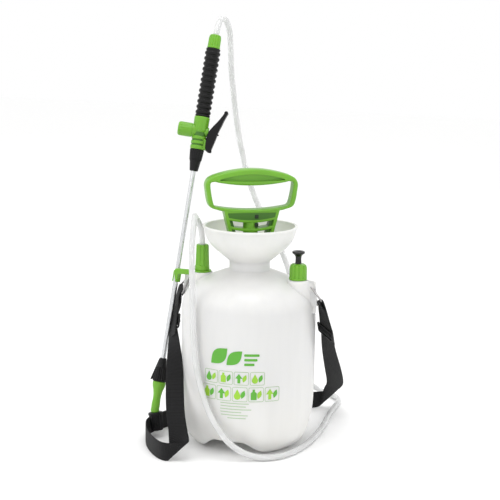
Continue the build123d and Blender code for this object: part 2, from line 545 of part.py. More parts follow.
sliders = {}
for name, station in (("left", LEFT_SLIDER), ("right", RIGHT_SLIDER)):
    centre = Vector(*STRAP_ROUTE[station][0])
    along = (Vector(*STRAP_ROUTE[station + 1][0]) - Vector(*STRAP_ROUTE[station - 1][0])).normalized()
    across = Vector(*STRAP_ROUTE[station][1])
    across = (across - along * across.dot(along)).normalized()
    with BuildPart() as slider:
        with BuildSketch(Plane(origin=centre, x_dir=across, z_dir=across.cross(along))):
            RectangleRounded(SLIDER_SIZE[0], SLIDER_SIZE[1], 2.5)
            slot = (SLIDER_SIZE[1] - 3 * SLIDER_BAR) / 2
            with GridLocations(0, slot + SLIDER_BAR, 1, 2):
                RectangleRounded(STRAP_WIDTH + 1, slot, 0.8, mode=Mode.SUBTRACT)
        extrude(amount=SLIDER_SIZE[2] / 2, both=True)
    sliders[name] = slider


# distance along the webbing from a slider's middle, and how far it stands off there
WEAVE = [(-9.5, -2.2), (-7.5, -2.2), (-2.0, 2.2), (2.0, 2.2), (7.5, -2.2), (9.5, -2.2)]


def strap_planes(index):
    """Planes across the webbing at a station of its route; a slider's station has one for each bend."""
    centre = Vector(*STRAP_ROUTE[index][0])
    before = Vector(*STRAP_ROUTE[max(index - 1, 0)][0])
    after = Vector(*STRAP_ROUTE[min(index + 1, len(STRAP_ROUTE) - 1)][0])
    tangent = (after - before).normalized()
    width = Vector(*STRAP_ROUTE[index][1])
    width = (width - tangent * width.dot(tangent)).normalized()
    if index not in (LEFT_SLIDER, RIGHT_SLIDER):
        return [Plane(origin=centre, x_dir=width, z_dir=tangent)]
    off = width.cross(tangent)
    return [Plane(origin=centre + tangent * along + off * rise, x_dir=width, z_dir=tangent)
            for along, rise in WEAVE]


with BuildPart() as shoulder_strap:
    for index in range(len(STRAP_ROUTE)):
        for plane in strap_planes(index):
            with BuildSketch(plane):
                Rectangle(STRAP_WIDTH, STRAP_THICKNESS)
    loft(ruled=True)

# ================================================================ hose
with BuildPart() as hose:
    radii = [bend_radius(*HOSE_ROUTE[i - 1:i + 2]) for i in range(1, len(HOSE_ROUTE) - 1)]
    with BuildLine() as hose_line:
        FilletPolyline(*HOSE_ROUTE, radius=radii)
    with BuildSketch(Plane(origin=hose_line.wire() @ 0, z_dir=hose_line.wire() % 0)):
        Circle(HOSE_RADIUS)
    sweep()
print("hose radii:", [round(radius, 1) for radius in radii])
print("hose length:", round(hose_line.wire().length, 1), "volume over section x length:",
      round(hose.part.volume / (math.pi * HOSE_RADIUS**2 * hose_line.wire().length), 4))

# ================================================================ lance
with BuildPart() as hose_nut:
    turn([(6.2, GRIP_TOP), (9.3, GRIP_TOP), (9.3, LANCE_TOP - 4), (8.2, LANCE_TOP - 1), (6.6, LANCE_TOP),
          (HOSE_RADIUS + SEAT_GAP, LANCE_TOP), (HOSE_RADIUS + SEAT_GAP, GRIP_TOP + 9.5), (6.2, GRIP_TOP + 8.5)],
         lance_section, lance_axis)
    grooves(lance, 14, 9.9, 1.2, GRIP_TOP + 2, LANCE_TOP)

GRIP_CORE_TOP = GRIP_TOP + 8.0
with BuildPart() as grip_core:
    turn([(2.2, VALVE_HIGH), (6.0, VALVE_HIGH), (6.0, GRIP_CORE_TOP), (2.2, GRIP_CORE_TOP)],
         lance_section, lance_axis)

with BuildPart() as grip_sleeve:
    turn(ring_of(6.05, GRIP_RADIUS - 1.2, VALVE_HIGH + 0.3, GRIP_TOP - 0.3), lance_section, lance_axis)
    rib_pitch = (GRIP_TOP - VALVE_HIGH - 6) / GRIP_RIBS
    for rib in range(GRIP_RIBS):
        rib_low = VALVE_HIGH + 4 + rib * rib_pitch
        turn(ring_of(GRIP_RADIUS - 1.6, GRIP_RADIUS, rib_low, rib_low + rib_pitch * 0.6), lance_section, lance_axis)

with BuildPart() as valve_body:
    turn([(0, VALVE_LOW - 12), (5.0, VALVE_LOW - 12), (5.0, VALVE_LOW - 0.2), (9.0, VALVE_LOW - 0.2),
          (VALVE_RADIUS - 1.3, VALVE_LOW + 8), (VALVE_RADIUS - 1.3, VALVE_HIGH - 9), (VALVE_RADIUS, VALVE_HIGH - 7),
          (VALVE_RADIUS, VALVE_HIGH), (0, VALVE_HIGH)], lance_section, lance_axis)
    # cross tube of the valve
    with BuildSketch(Plane(origin=stem_axis.position - lance_side * 15, z_dir=lance_side)):
        Circle(9.0)
    extrude(amount=27)
    # ears that hold the trigger's pin
    with BuildSketch(lance_middle):
        with BuildLine():
            Polyline((4, PIVOT_S - 2), (PIVOT_X - 3, PIVOT_S - 2.6), (PIVOT_X + 1, PIVOT_S - 4.5),
                     (PIVOT_X + 4.5, PIVOT_S - 1),
                     (PIVOT_X + 4, PIVOT_S + 4), (8, PIVOT_S + 12), (4, PIVOT_S + 12), close=True)
        make_face()
    extrude(amount=TRIGGER_WIDTH / 2 + 3, both=True)
    with BuildSketch(lance_middle):
        with Locations((PIVOT_X + 2, PIVOT_S + 4)):
            Rectangle(17, 26)
    extrude(amount=TRIGGER_WIDTH / 2 + 0.3, both=True, mode=Mode.SUBTRACT)
    # cross tube again where the slot cut it, then its bore
    with BuildSketch(Plane(origin=stem_axis.position, z_dir=lance_side)):
        Circle(7.0)
    extrude(amount=12.5)
    with BuildSketch(Plane(origin=stem_axis.position - lance_side * 15, z_dir=lance_side)):
        Circle(STEM_RADIUS + CLEARANCE)
    extrude(amount=30, mode=Mode.SUBTRACT)
    with BuildSketch(Plane(origin=stem_axis.position - lance_side * 15, z_dir=lance_side)):
        Circle(6.0)
    extrude(amount=11, mode=Mode.SUBTRACT)
    # waterway up and down the lance, and the pin's hole
    with BuildSketch(lance.offset(VALVE_LOW - 12)):
        Circle(2.0)
    extrude(amount=VALVE_HIGH - VALVE_LOW + 12, mode=Mode.SUBTRACT)
    with BuildSketch(lance_middle):
        with Locations((PIVOT_X, PIVOT_S)):
            Circle(PIN_RADIUS)
    extrude(amount=TRIGGER_WIDTH, both=True, mode=Mode.SUBTRACT)

with BuildPart() as valve_cap:
    turn([(0, -33), (8.6, -33), (10, -31.5), (10, -17.0), (9.2, -15.3), (9.2, -15.2), (6.0, -15.2), (6.0, -27),
          (0, -27)],
         Plane(origin=stem_axis.position, x_dir=lance_direction, z_dir=lance.y_dir), stem_axis)

# (x across the lance, v from its axis) outlines about the cross axis
stem_section = Plane(origin=stem_axis.position, x_dir=lance_direction, z_dir=lance.y_dir)
with BuildPart() as valve_stem:
    turn([(0, -10.4), (5.6, -10.4), (5.6, -7.5), (STEM_RADIUS, -6.8), (STEM_RADIUS, 18.2), (1.6, 20),
          (0, 20)], stem_section, stem_axis)

with BuildPart() as valve_seal:
    turn(ring_of(STEM_RADIUS + 0.4, 5.9, -6.2, -4.05), stem_section, stem_axis)

with BuildPart() as valve_spring:
    coil_turns = 5
    spring_start = -22.6
    spring_length = -10.9 - spring_start
    spring_coil = 4.0
    spring_wire = 0.5
    with BuildLine() as spring_line:
        Helix(pitch=spring_length / coil_turns, height=spring_length, radius=spring_coil,
              center=stem_axis.position + lance_side * spring_start, direction=lance_side)
    with BuildSketch(Plane(origin=spring_line.line @ 0, z_dir=spring_line.line % 0)):
        Circle(spring_wire)
    sweep(is_frenet=True)

with BuildPart() as trigger:
    tip_x, tip_s = TRIGGER_TIP
    with BuildSketch(lance_middle):
        with BuildLine():
            outer_edge = Spline((PIVOT_X + 4.2, PIVOT_S - 1), (PIVOT_X + 9, PIVOT_S + 18), (tip_x - 5, tip_s - 20),
                                (tip_x + 1, tip_s))
            tip_end = ThreePointArc(outer_edge @ 1, (tip_x - 1.2, tip_s + 2.2), (tip_x - 3.4, tip_s + 1))
            inner_edge = Spline(tip_end @ 1, (tip_x - 10, tip_s - 19), (PIVOT_X + 4, PIVOT_S + 20),
                                (PIVOT_X - 3.4, PIVOT_S + 2))
            ThreePointArc(inner_edge @ 1, (PIVOT_X - 0.5, PIVOT_S - 4), outer_edge @ 0)
        make_face()
    extrude(amount=TRIGGER_WIDTH / 2, both=True)
    with BuildSketch(lance_middle):
        with Locations((PIVOT_X, PIVOT_S)):
            Circle(PIN_RADIUS + CLEARANCE)
    extrude(amount=TRIGGER_WIDTH, both=True, mode=Mode.SUBTRACT)

with BuildPart() as trigger_pin:
    with BuildSketch(lance_middle):
        with Locations((PIVOT_X, PIVOT_S)):
            Circle(PIN_RADIUS)
    extrude(amount=TRIGGER_WIDTH / 2 + 3.4, both=True)

with BuildPart() as lance_nut:
    turn([(TUBE_RADIUS + 0.05, LANCE_NUT_LOW), (5.8, LANCE_NUT_LOW), (6.6, LANCE_NUT_LOW + 10),
          (9.3, LANCE_NUT_LOW + 16), (9.5, VALVE_LOW - 0.4), (5.05, VALVE_LOW - 0.4), (5.05, LANCE_NUT_LOW + 16),
          (TUBE_RADIUS + 0.05, LANCE_NUT_LOW + 14)], lance_section, lance_axis)
    grooves(lance, 16, 10.1, 1.1, LANCE_NUT_LOW + 15, VALVE_LOW)

with BuildPart() as lance_seal:
    turn(ring_of(TUBE_RADIUS + 0.05, 5.0, LANCE_NUT_LOW + 16.4, LANCE_NUT_LOW + 19), lance_section, lance_axis)

TUBE_TOP = VALVE_LOW - 12.2
TUBE_LOW = ELBOW_TOP + 10
with BuildPart() as lance_tube:
    turn(ring_of(TUBE_RADIUS - TUBE_WALL, TUBE_RADIUS, TUBE_LOW, TUBE_TOP), lance_section, lance_axis)

with BuildPart() as tube_nut:
    turn([(TUBE_RADIUS + 0.05, TUBE_NUT_TOP), (5.0, TUBE_NUT_TOP), (6.8, TUBE_NUT_TOP - 10), (8.2, TUBE_NUT_TOP - 13),
          (10.2, ELBOW_TOP + 0.4), (6.6, ELBOW_TOP + 0.4), (6.6, ELBOW_TOP + 9), (TUBE_RADIUS + 0.05, ELBOW_TOP + 12)],
         lance_section, lance_axis)
    grooves(lance, 16, 10.2, 1.0, ELBOW_TOP, TUBE_NUT_TOP - 12)

with BuildPart() as tube_seal:
    turn(ring_of(TUBE_RADIUS + 0.05, 6.5, ELBOW_TOP + 6.9, ELBOW_TOP + 8.9), lance_section, lance_axis)

with BuildPart() as nozzle_elbow:
    turn([(0, 0), (6.2, 0), (6.2, 22), (7.2, 30), (9.2, ELBOW_TOP - 4), (9.2, ELBOW_TOP), (6.5, ELBOW_TOP),
          (6.5, ELBOW_TOP + 6.8), (0, ELBOW_TOP + 6.8)], lance_section, lance_axis)
    with Locations(LANCE_FOOT):
        Sphere(6.2)
    turn([(0, 0), (6.2, 0), (6.2, 3), (5.0, 3), (5.0, NOZZLE_LENGTH - 8), (0, NOZZLE_LENGTH - 8)],
         nozzle_section, nozzle_axis)
    with BuildSketch(lance):
        Circle(2.2)
    extrude(amount=ELBOW_TOP + 7, mode=Mode.SUBTRACT)
    with BuildSketch(nozzle):
        Circle(2.2)
    extrude(amount=NOZZLE_LENGTH, mode=Mode.SUBTRACT)

with BuildPart() as nozzle_core:
    core_low = NOZZLE_LENGTH - 7.8
    turn([(0, core_low), (5.0, core_low), (5.0, core_low + 2), (2.0, core_low + 4.4), (0, core_low + 4.4)],
         nozzle_section, nozzle_axis)
    with BuildSketch(nozzle.offset(core_low)):
        with PolarLocations(3.6, 4):
            Circle(0.7)
    extrude(amount=3, mode=Mode.SUBTRACT)

with BuildPart() as nozzle_ring:
    turn(ring_of(5.05, 5.6, 6.0, 7.6), nozzle_section, nozzle_axis)

with BuildPart() as nozzle_cap:
    cap_start = 3.4
    inner_radius = 5.0 + CLEARANCE
    turn([(6.0, cap_start), (10.4, cap_start), (10.4, cap_start + 3), (9.9, cap_start + 3.4),
          (8.8, NOZZLE_LENGTH - 0.6), (8.2, NOZZLE_LENGTH), (1.2, NOZZLE_LENGTH), (1.2, NOZZLE_LENGTH - 2.6),
          (inner_radius + 0.6, NOZZLE_LENGTH - 2.6), (inner_radius + 0.6, NOZZLE_LENGTH - 9),
          (inner_radius, NOZZLE_LENGTH - 9), (inner_radius, 9.0), (6.0, 8.4)], nozzle_section, nozzle_axis)
    grooves(nozzle, 14, 10.6, 1.0, cap_start + 3.6, NOZZLE_LENGTH)

# ================================================================ names and files
pieces = {
    "tank": tank, "barrel_gasket": barrel_gasket, "pump_cap": pump_cap, "pump_barrel": pump_barrel,
    "foot_valve": foot_valve, "piston_rod": piston_rod, "rod_end_nut": rod_end_nut, "piston": piston,
    "piston_cup": piston_cup, "pump_handle": pump_handle, "outlet_nut": outlet_nut, "outlet_barb": outlet_barb,
    "outlet_gasket": outlet_gasket, "dip_tube": dip_tube, "dip_filter": dip_filter, "lance_clip": lance_clip,
    "relief_cap": relief_cap, "relief_seat": relief_seat, "relief_knob": relief_knob,
    "relief_washer": relief_washer, "relief_spring": relief_spring, "ring_left": rings["left"],
    "ring_right": rings["right"], "slider_left": sliders["left"], "slider_right": sliders["right"],
    "shoulder_strap": shoulder_strap, "hose": hose, "hose_nut": hose_nut, "grip_core": grip_core,
    "grip_sleeve": grip_sleeve, "valve_body": valve_body, "valve_cap": valve_cap, "valve_stem": valve_stem,
    "valve_seal": valve_seal, "valve_spring": valve_spring, "trigger": trigger, "trigger_pin": trigger_pin,
    "lance_nut": lance_nut, "lance_seal": lance_seal, "lance_tube": lance_tube, "tube_nut": tube_nut,
    "tube_seal": tube_seal, "nozzle_elbow": nozzle_elbow, "nozzle_core": nozzle_core,
    "nozzle_ring": nozzle_ring, "nozzle_cap": nozzle_cap,
}
for name, piece in pieces.items():
    piece.part.label = name
    export_step(piece.part, f"parts/{name}.step")
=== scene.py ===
"""Garden pressure sprayer: the visual model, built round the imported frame.

Shapes are given in millimetres, in the frame of the part, and become metres in the meshes.
"""
import json
import math

import bmesh
import bpy
from mathutils import Matrix, Vector

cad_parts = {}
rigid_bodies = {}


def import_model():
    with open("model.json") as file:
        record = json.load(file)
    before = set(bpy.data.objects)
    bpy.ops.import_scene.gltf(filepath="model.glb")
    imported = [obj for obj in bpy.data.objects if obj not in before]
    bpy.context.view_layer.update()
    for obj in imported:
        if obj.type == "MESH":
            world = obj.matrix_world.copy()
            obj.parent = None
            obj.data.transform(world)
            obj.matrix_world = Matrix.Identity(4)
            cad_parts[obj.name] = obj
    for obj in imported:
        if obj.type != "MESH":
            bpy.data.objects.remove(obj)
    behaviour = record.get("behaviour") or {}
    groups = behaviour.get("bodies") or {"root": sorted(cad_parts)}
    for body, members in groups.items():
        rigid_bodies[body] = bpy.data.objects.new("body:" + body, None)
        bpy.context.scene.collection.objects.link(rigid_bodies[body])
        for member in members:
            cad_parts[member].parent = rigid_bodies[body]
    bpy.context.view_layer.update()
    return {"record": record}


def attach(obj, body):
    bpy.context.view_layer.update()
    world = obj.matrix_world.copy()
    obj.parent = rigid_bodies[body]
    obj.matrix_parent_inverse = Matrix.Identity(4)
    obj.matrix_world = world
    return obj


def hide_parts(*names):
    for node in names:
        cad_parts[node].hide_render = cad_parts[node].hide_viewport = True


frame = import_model()

MM = 0.001
UP = Vector((0, 0, 1))

# -------- sizes, in millimetres
TANK_RADIUS, SHOULDER_Z, NECK_RADIUS, NECK_TOP_Z = 95.0, 200.0, 28.7, 261.0
RIM_Z, FUNNEL_RADIUS, WALL = 312.0, 65.5, 2.6
VALLEY_RISE, VALLEY_FLAT, VALLEY_SIDE, VALLEY_TOP, VALLEY_DRAW = 19.0, 18.0, 34.0, 56.0, 18.0
BOSS_X, BOSS_RADIUS, BOSS_TOP_Z, STUB_TOP_Z = 72.0, 15.0, 240.0, 251.9
TAB_OUT, TAB_HOLE_X, TAB_HOLE_Z = 98.6, 91.0, 231.0
HANDLE_TURN, HANDLE_TOP_Z, HANDLE_HALF, HANDLE_DEPTH = 32.0, 392.0, 66.0, 22.0
LOWER_BAR_Z, HANDLE_FOOT_Z = 330.5, 288.3
NUT_FOOT_Z, NUT_HEIGHT = 242.2, 37.0
RELIEF_FOOT_Z, RELIEF_TOP_Z, KNOB_TOP_Z = 240.3, 262.9, 280.5
HOSE_DIAMETER, HOSE_BORE = 8.5, 5.2
STRAP_WIDTH, STRAP_THICKNESS = 25.0, 1.5
RING_HEIGHT, RING_WIRE = 24.0, 1.3
LANCE_FOOT, LANCE_CLIP = Vector((-126.6, -41.4, 39.0)), Vector((-112.2, 1.0, 229.1))
NOZZLE_TIP, LANCE_FACE = Vector((-121.5, -43.8, 9.5)), math.radians(19.8)
# places along the lance, from its foot
ELBOW_TOP, TUBE_NUT_TOP, LANCE_NUT_LOW = 41.5, 75.5, 349.0
VALVE_LOW, VALVE_HIGH, GRIP_TOP, LANCE_TOP, STEM_S = 381.0, 428.0, 528.0, 548.0, 407.0
PIVOT_X, PIVOT_S, TRIGGER_WIDTH, PAD_WIDTH, PAD_LOW = 16.0, 384.0, 12.0, 18.8, 399.0
KNEE_RADIUS, CLIP_GAP = 6.2, (150, 262)
# height and radius of the tank's wall; heights, angles and count of each row of pictograms
WALL_PLACES = [(40, 92.8), (54, 93.9), (80, 94.8), (110, TANK_RADIUS)]
PRINT_ROWS = [(106.5, 125, -108.5, -55.5, 4), (83, 103.5, -110.5, -42.5, 5)]

HOSE_ROUTE = [
    (-87, 75, 561), (-85, 80, 582), (-87, 98, 596), (-87, 121, 595), (-87, 137, 578), (-87, 142, 553),
    (-88, 147, 522), (-84, 150, 479), (-77, 149, 434), (-69, 145, 403), (-60, 142, 371), (-47, 139, 337),
    (-32, 137, 308), (-15, 139, 278), (1, 146, 247), (12, 152, 210), (15, 161, 174), (14, 172, 136),
    (13, 186, 98), (12, 205, 62), (14, 224, 36), (24, 236, 18), (44, 243, 6), (68, 234, 4.4),
    (78, 210, 4.4), (79, 172, 4.4), (83, 132, 4.4), (89, 92, 4.4), (94, 33, 4.4), (91, -20, 4.4),
    (81, -59, 4.4), (61, -83, 4.4), (36, -93, 8), (13, -102, 23), (-3, -104, 42), (-17, -102, 61),
    (-28, -99, 84), (-37, -96, 109), (-44, -93, 139), (-48, -92, 179), (-50, -89, 229), (-55, -82, 283),
    (-58, -70, 310), (-65, -47, 327), (-76, -20, 323), (-72, 0, 300), (-72, 0, 268),
]
# centre of the webbing, and half its width as a vector; a fold's crease is longer than the width
HALF = STRAP_WIDTH / 2
CREASE = HALF * math.sqrt(2)


def across(x, y, z, half=HALF):
    """Half the width of the webbing along a direction."""
    return Vector((x, y, z)).normalized() * half


STRAP_FLOOR_Z = 12.9
# where the webbing stands on its edge, along the floor
FLOOR_RUN = [
    (-66, -136), (-80, -132), (-99, -114), (-116, -92), (-129, -68), (-138, -44), (-135, -20), (-124, 8),
    (-112, 36), (-98, 61), (-75, 86), (-41, 112), (-7, 134), (27, 160), (50, 182),
]
STRAP_ROUTE = [
    ((-105.0, 0.5, 208), across(0.41, -0.87, -0.2)), ((-105.6, -2, 198), across(0.55, -0.835, 0)),
    ((-106.2, -6, 188), across(0.58, -0.81, 0)), ((-106.5, -15.5, 163), across(0.62, -0.79, 0)),
    ((-96, -43, 136), across(0.93, -0.36, 0)), ((-87, -62, 108), across(1, 0.09, 0)),
    ((-78, -83, 83), across(0.94, 0.34, 0)), ((-67, -106, 59), across(0.94, 0.34, 0)),
    ((-58, -118, 42), across(0.95, 0.3, 0)), ((-50, -131, 20), across(0.72, 0.18, 0.67, CREASE)),
    ((-50, -131.6, 15), across(0.70, 0.17, 0.69, CREASE)),
    *[((x, y, STRAP_FLOOR_Z), across(0, 0, 1)) for x, y in FLOOR_RUN],
    ((66, 192, 14), across(0.66, 0.24, 0.70, CREASE)), ((66.5, 191, 17), across(0.70, 0.25, 0.66, CREASE)),
    ((75, 178, 36), across(0.94, 0.34, 0)), ((85, 163, 48), across(0.94, 0.34, 0)),
    ((94, 113, 86), across(1, 0.04, 0)), ((101, 63, 128), across(0.93, -0.37, 0)),
    ((105.4, 29.5, 161.5), across(0.76, -0.64, 0)), ((107, 11, 190), across(0.68, -0.73, 0)),
    ((106.4, 4, 200), across(0.6, -0.8, 0)), ((105.2, 0.6, 208.5), across(0.45, -0.85, -0.2)),
]
SLIDERS = {"left": 3, "right": 32}
WEAVE = [(-9.5, -2.2), (-7.5, -2.2), (-2.0, 2.2), (2.0, 2.2), (7.5, -2.2), (9.5, -2.2)]
RING_HANG = {"left": Vector((-0.53, 0, -0.85)).normalized(), "right": Vector((0.55, 0, -0.83)).normalized()}
RING_BAR = {"left": Vector((0.55, -0.835, 0)), "right": Vector((0.6, -0.8, 0))}


# -------- places
def place(origin, x_dir, z_dir):
    """Matrix of a local frame, from its origin, its X direction and its Z direction."""
    x_axis, z_axis = Vector(x_dir).normalized(), Vector(z_dir).normalized()
    y_axis = z_axis.cross(x_axis)
    matrix = Matrix((x_axis, y_axis, z_axis)).transposed().to_4x4()
    matrix.translation = Vector(origin)
    return matrix


WORLD = Matrix.Identity(4)
lance_dir = (LANCE_CLIP - LANCE_FOOT).normalized()
face_dir = Vector((math.cos(LANCE_FACE), math.sin(LANCE_FACE), 0))
lance_side = (face_dir - lance_dir * face_dir.dot(lance_dir)).normalized()
LANCE = place(LANCE_FOOT, lance_side, lance_dir)
nozzle_dir = (NOZZLE_TIP - LANCE_FOOT).normalized()
NOZZLE_LENGTH = (NOZZLE_TIP - LANCE_FOOT).length
NOZZLE = place(LANCE_FOOT, face_dir - nozzle_dir * face_dir.dot(nozzle_dir), nozzle_dir)
STEM = place(LANCE @ Vector((0, 0, STEM_S)), lance_dir, lance_side)
MIDDLE = place(LANCE_FOOT, lance_side, lance_side.cross(lance_dir))
turned = Vector((math.cos(math.radians(HANDLE_TURN)), math.sin(math.radians(HANDLE_TURN)), 0))
HANDLE = place((0, 0, 0), turned, turned.cross(UP))
OUTLET = Matrix.Translation((-BOSS_X, 0, 0))
RELIEF = Matrix.Translation((BOSS_X, 0, 0))


# -------- camera
def link(obj):
    """Put an object in the scene."""
    bpy.context.scene.collection.objects.link(obj)


def make_camera():
    """Camera at the viewing angle: to the left-hand front, a little above the object, and rolled slightly."""
    azimuth, pitch, roll = math.radians(19.82), math.radians(10.45), math.radians(1.0)
    forward = Vector((-math.sin(azimuth) * math.cos(pitch), math.cos(azimuth) * math.cos(pitch),
                      -math.sin(pitch)))
    level = Vector((math.cos(azimuth), math.sin(azimuth), 0))
    above = level.cross(forward)
    right = level * math.cos(roll) + above * math.sin(roll)
    data = bpy.data.cameras.new("camera")
    data.lens, data.sensor_width = 94.25, 36.0
    camera = bpy.data.objects.new("camera", data)
    camera.matrix_world = place((0.6148, -1.7054, 0.6108), right, -forward)
    link(camera)
    bpy.context.scene.camera = camera


make_camera()


# -------- materials
WAVE_PERIOD = 0.314  # length of one wave of the Wave texture at scale 1


class Look:
    """A procedural material in the making: its Principled shader and what feeds it."""

    def __init__(self, name, color, roughness, **sockets):
        self.material = bpy.data.materials.new(name)
        self.material.use_nodes = True
        self.nodes, self.links = self.material.node_tree.nodes, self.material.node_tree.links
        self.inputs = self.nodes["Principled BSDF"].inputs
        self.color = color
        self.inputs["Base Color"].default_value = (*color, 1)
        self.inputs["Roughness"].default_value = roughness
        for socket, value in sockets.items():
            self.inputs[socket.replace("_", " ")].default_value = value

    def mapped(self, source, socket, value):
        """Coordinates scaled or turned."""
        mapping = self.nodes.new("ShaderNodeMapping")
        mapping.inputs[socket].default_value = value
        self.links.new(source, mapping.inputs["Vector"])
        return mapping.outputs["Vector"]

    def noise(self, scale, detail=3.0, stretch=None):
        """Noise in object space, in cycles per metre, with an optional stretch along the axes."""
        source = self.nodes.new("ShaderNodeTexCoord").outputs["Object"]
        if stretch:
            source = self.mapped(source, "Scale", stretch)
        noise = self.nodes.new("ShaderNodeTexNoise")
        noise.inputs["Scale"].default_value = scale
        noise.inputs["Detail"].default_value = detail
        self.links.new(source, noise.inputs["Vector"])
        return noise.outputs["Fac"]

    def combine(self, operation, one, two):
        """Sum or product of two textures."""
        node = self.nodes.new("ShaderNodeMath")
        node.operation = operation
        self.links.new(one, node.inputs[0])
        self.links.new(two, node.inputs[1])
        return node.outputs[0]

    def vary(self, source, amount, low=0.35, high=0.65):
        """Colour between a darker and a lighter tone of the material's own."""
        ramp = self.nodes.new("ShaderNodeValToRGB")
        for element, position, tone in zip(ramp.color_ramp.elements, (low, high), (1 - amount, 1 + amount)):
            element.position = position
            element.color = (*[min(1, c * tone) for c in self.color], 1)
        self.links.new(source, ramp.inputs["Fac"])
        self.links.new(ramp.outputs["Color"], self.inputs["Base Color"])

    def rough(self, source, low, high):
        """Roughness that follows a texture."""
        spread = self.nodes.new("ShaderNodeMapRange")
        spread.inputs["To Min"].default_value = low
        spread.inputs["To Max"].default_value = high
        self.links.new(source, spread.inputs["Value"])
        self.links.new(spread.outputs["Result"], self.inputs["Roughness"])

    def bump(self, source, strength, depth):
        """Bump of a depth in metres."""
        relief = self.nodes.new("ShaderNodeBump")
        relief.inputs["Strength"].default_value = strength
        relief.inputs["Distance"].default_value = depth
        self.links.new(source, relief.inputs["Height"])
        self.links.new(relief.outputs["Normal"], self.inputs["Normal"])


def moulded(name, color, roughness, variation, grain=900, grain_depth=0.00006, **sockets):
    """Moulded plastic: faint cloudy colour, uneven gloss and a fine skin texture."""
    look = Look(name, color, roughness, **sockets)
    look.vary(look.noise(18), variation)
    look.rough(look.noise(45, 5), roughness - 0.08, roughness + 0.10)
    look.bump(look.noise(grain, 4), 0.25, grain_depth)
    return look.material


def tank_plastic():
    """Milky blow-moulded polyethylene: soft scattering, faint upright flow marks, slight waviness."""
    look = Look("tank_plastic", (0.74, 0.735, 0.715), 0.36, Subsurface_Weight=0.35, Subsurface_Scale=0.012,
                Subsurface_Radius=(1.0, 0.95, 0.8))
    look.vary(look.noise(26, 4, (1, 1, 0.12)), 0.035)
    look.rough(look.noise(30, 5), 0.28, 0.46)
    look.bump(look.noise(34, 2, (1, 1, 0.3)), 0.35, 0.0006)
    return look.material


def clear_plastic(name, color, roughness):
    """Clear, slightly milky PVC."""
    look = Look(name, color, roughness, Transmission_Weight=0.45, IOR=1.36)
    look.vary(look.noise(60), 0.04)
    look.rough(look.noise(120, 4), roughness - 0.04, roughness + 0.08)
    return look.material


def metal(name, color, roughness, stretch):
    """Drawn or plated metal with fine marks along one direction."""
    look = Look(name, color, roughness, Metallic=1.0)
    drawn = look.noise(700, 3, stretch)
    look.vary(drawn, 0.08)
    look.rough(drawn, roughness - 0.06, roughness + 0.10)
    look.bump(drawn, 0.12, 0.00004)
    return look.material


def webbing():
    """Woven tape: crossed sets of threads, from the ribbon's own length and width in millimetres."""
    look = Look("webbing", (0.005, 0.005, 0.0055), 0.75, Sheen_Weight=0.06, Sheen_Roughness=0.5,
                Specular_IOR_Level=0.25)
    flat = look.nodes.new("ShaderNodeUVMap").outputs["UV"]
    threads = []
    for pitch, angle in ((1.7, 38), (1.7, -38), (2.1, 90)):
        wave = look.nodes.new("ShaderNodeTexWave")
        wave.inputs["Scale"].default_value = WAVE_PERIOD / pitch
        wave.inputs["Distortion"].default_value = 0.6
        wave.inputs["Detail"].default_value = 1.0
        look.links.new(look.mapped(flat, "Rotation", (0, 0, math.radians(angle))), wave.inputs["Vector"])
        threads.append(wave.outputs["Fac"])
    woven = look.combine("ADD", look.combine("MULTIPLY", threads[0], threads[1]), threads[2])
    look.vary(woven, 0.75, 0.1, 1.2)
    look.bump(woven, 0.9, 0.0005)
    return look.material


GREEN = moulded("green_plastic", (0.145, 0.395, 0.018), 0.34, 0.07, Subsurface_Weight=0.08,
                Subsurface_Scale=0.004)
# darker copy of the green plastic: painted shade for grooves and recesses
PAINTED_SHADE_GREEN = moulded("green_recess", (0.045, 0.16, 0.008), 0.45, 0.07)
# near-black green: painted shadow in the handle's slots
SHADOW_GREEN = moulded("green_slot", (0.005, 0.02, 0.002), 0.5, 0.1)
BLACK = moulded("black_plastic", (0.0055, 0.0055, 0.006), 0.40, 0.15, Specular_IOR_Level=0.25)
GLOSS = moulded("black_gloss", (0.006, 0.006, 0.006), 0.18, 0.10, grain_depth=0.00002, Specular_IOR_Level=0.4)
RUBBER = moulded("black_rubber", (0.006, 0.006, 0.006), 0.42, 0.18, grain=1400, grain_depth=0.00012,
                 Specular_IOR_Level=0.22)
WHITE = moulded("white_plastic", (0.78, 0.78, 0.75), 0.40, 0.03)
PRINT = moulded("print_green", (0.10, 0.40, 0.03), 0.42, 0.05)
PRINT_LIME = moulded("print_lime", (0.30, 0.58, 0.035), 0.42, 0.05)
PRINT_PALE = moulded("print_pale", (0.34, 0.50, 0.26), 0.42, 0.04)
TANK = tank_plastic()
HOSE = clear_plastic("clear_hose", (0.965, 0.97, 0.965), 0.18)
BORE = clear_plastic("clear_bore", (0.90, 0.915, 0.91), 0.14)
SILVER = metal("silver_metal", (0.70, 0.71, 0.72), 0.26, (1, 1, 0.02))
STEEL = metal("ring_steel", (0.30, 0.29, 0.29), 0.26, (1, 1, 1))
WEBBING = webbing()
# the materials of each slot; CAD nodes take the first
LOOKS = {
    "tank_plastic": [TANK],
    "green_plastic": [GREEN, PAINTED_SHADE_GREEN, SHADOW_GREEN, PRINT, PRINT_LIME],
    "black_plastic": [BLACK],
    "black_gloss": [GLOSS],
    "black_rubber": [RUBBER],
    "white_plastic": [WHITE, PRINT_PALE],
    "silver_metal": [SILVER],
    "ring_steel": [STEEL],
    "webbing": [WEBBING],
    "clear_hose": [HOSE, BORE],
}
NODE_SLOTS = {row["node"]: row["material_slot"] for row in frame["record"]["subparts"]}


def dress_cad():
    """Every carried-over CAD node gets the material of its slot."""
    for obj in bpy.data.objects:
        if obj.type == "MESH" and obj.name in NODE_SLOTS:
            obj.data.materials.clear()
            obj.data.materials.append(LOOKS[NODE_SLOTS[obj.name]][0])


dress_cad()


# -------- mesh tools
def shade(mesh, sharp=38):
    """Smooth shading, with edges sharp above an angle in degrees."""
    mesh.shade_smooth()
    mesh.set_sharp_from_angle(angle=math.radians(sharp))


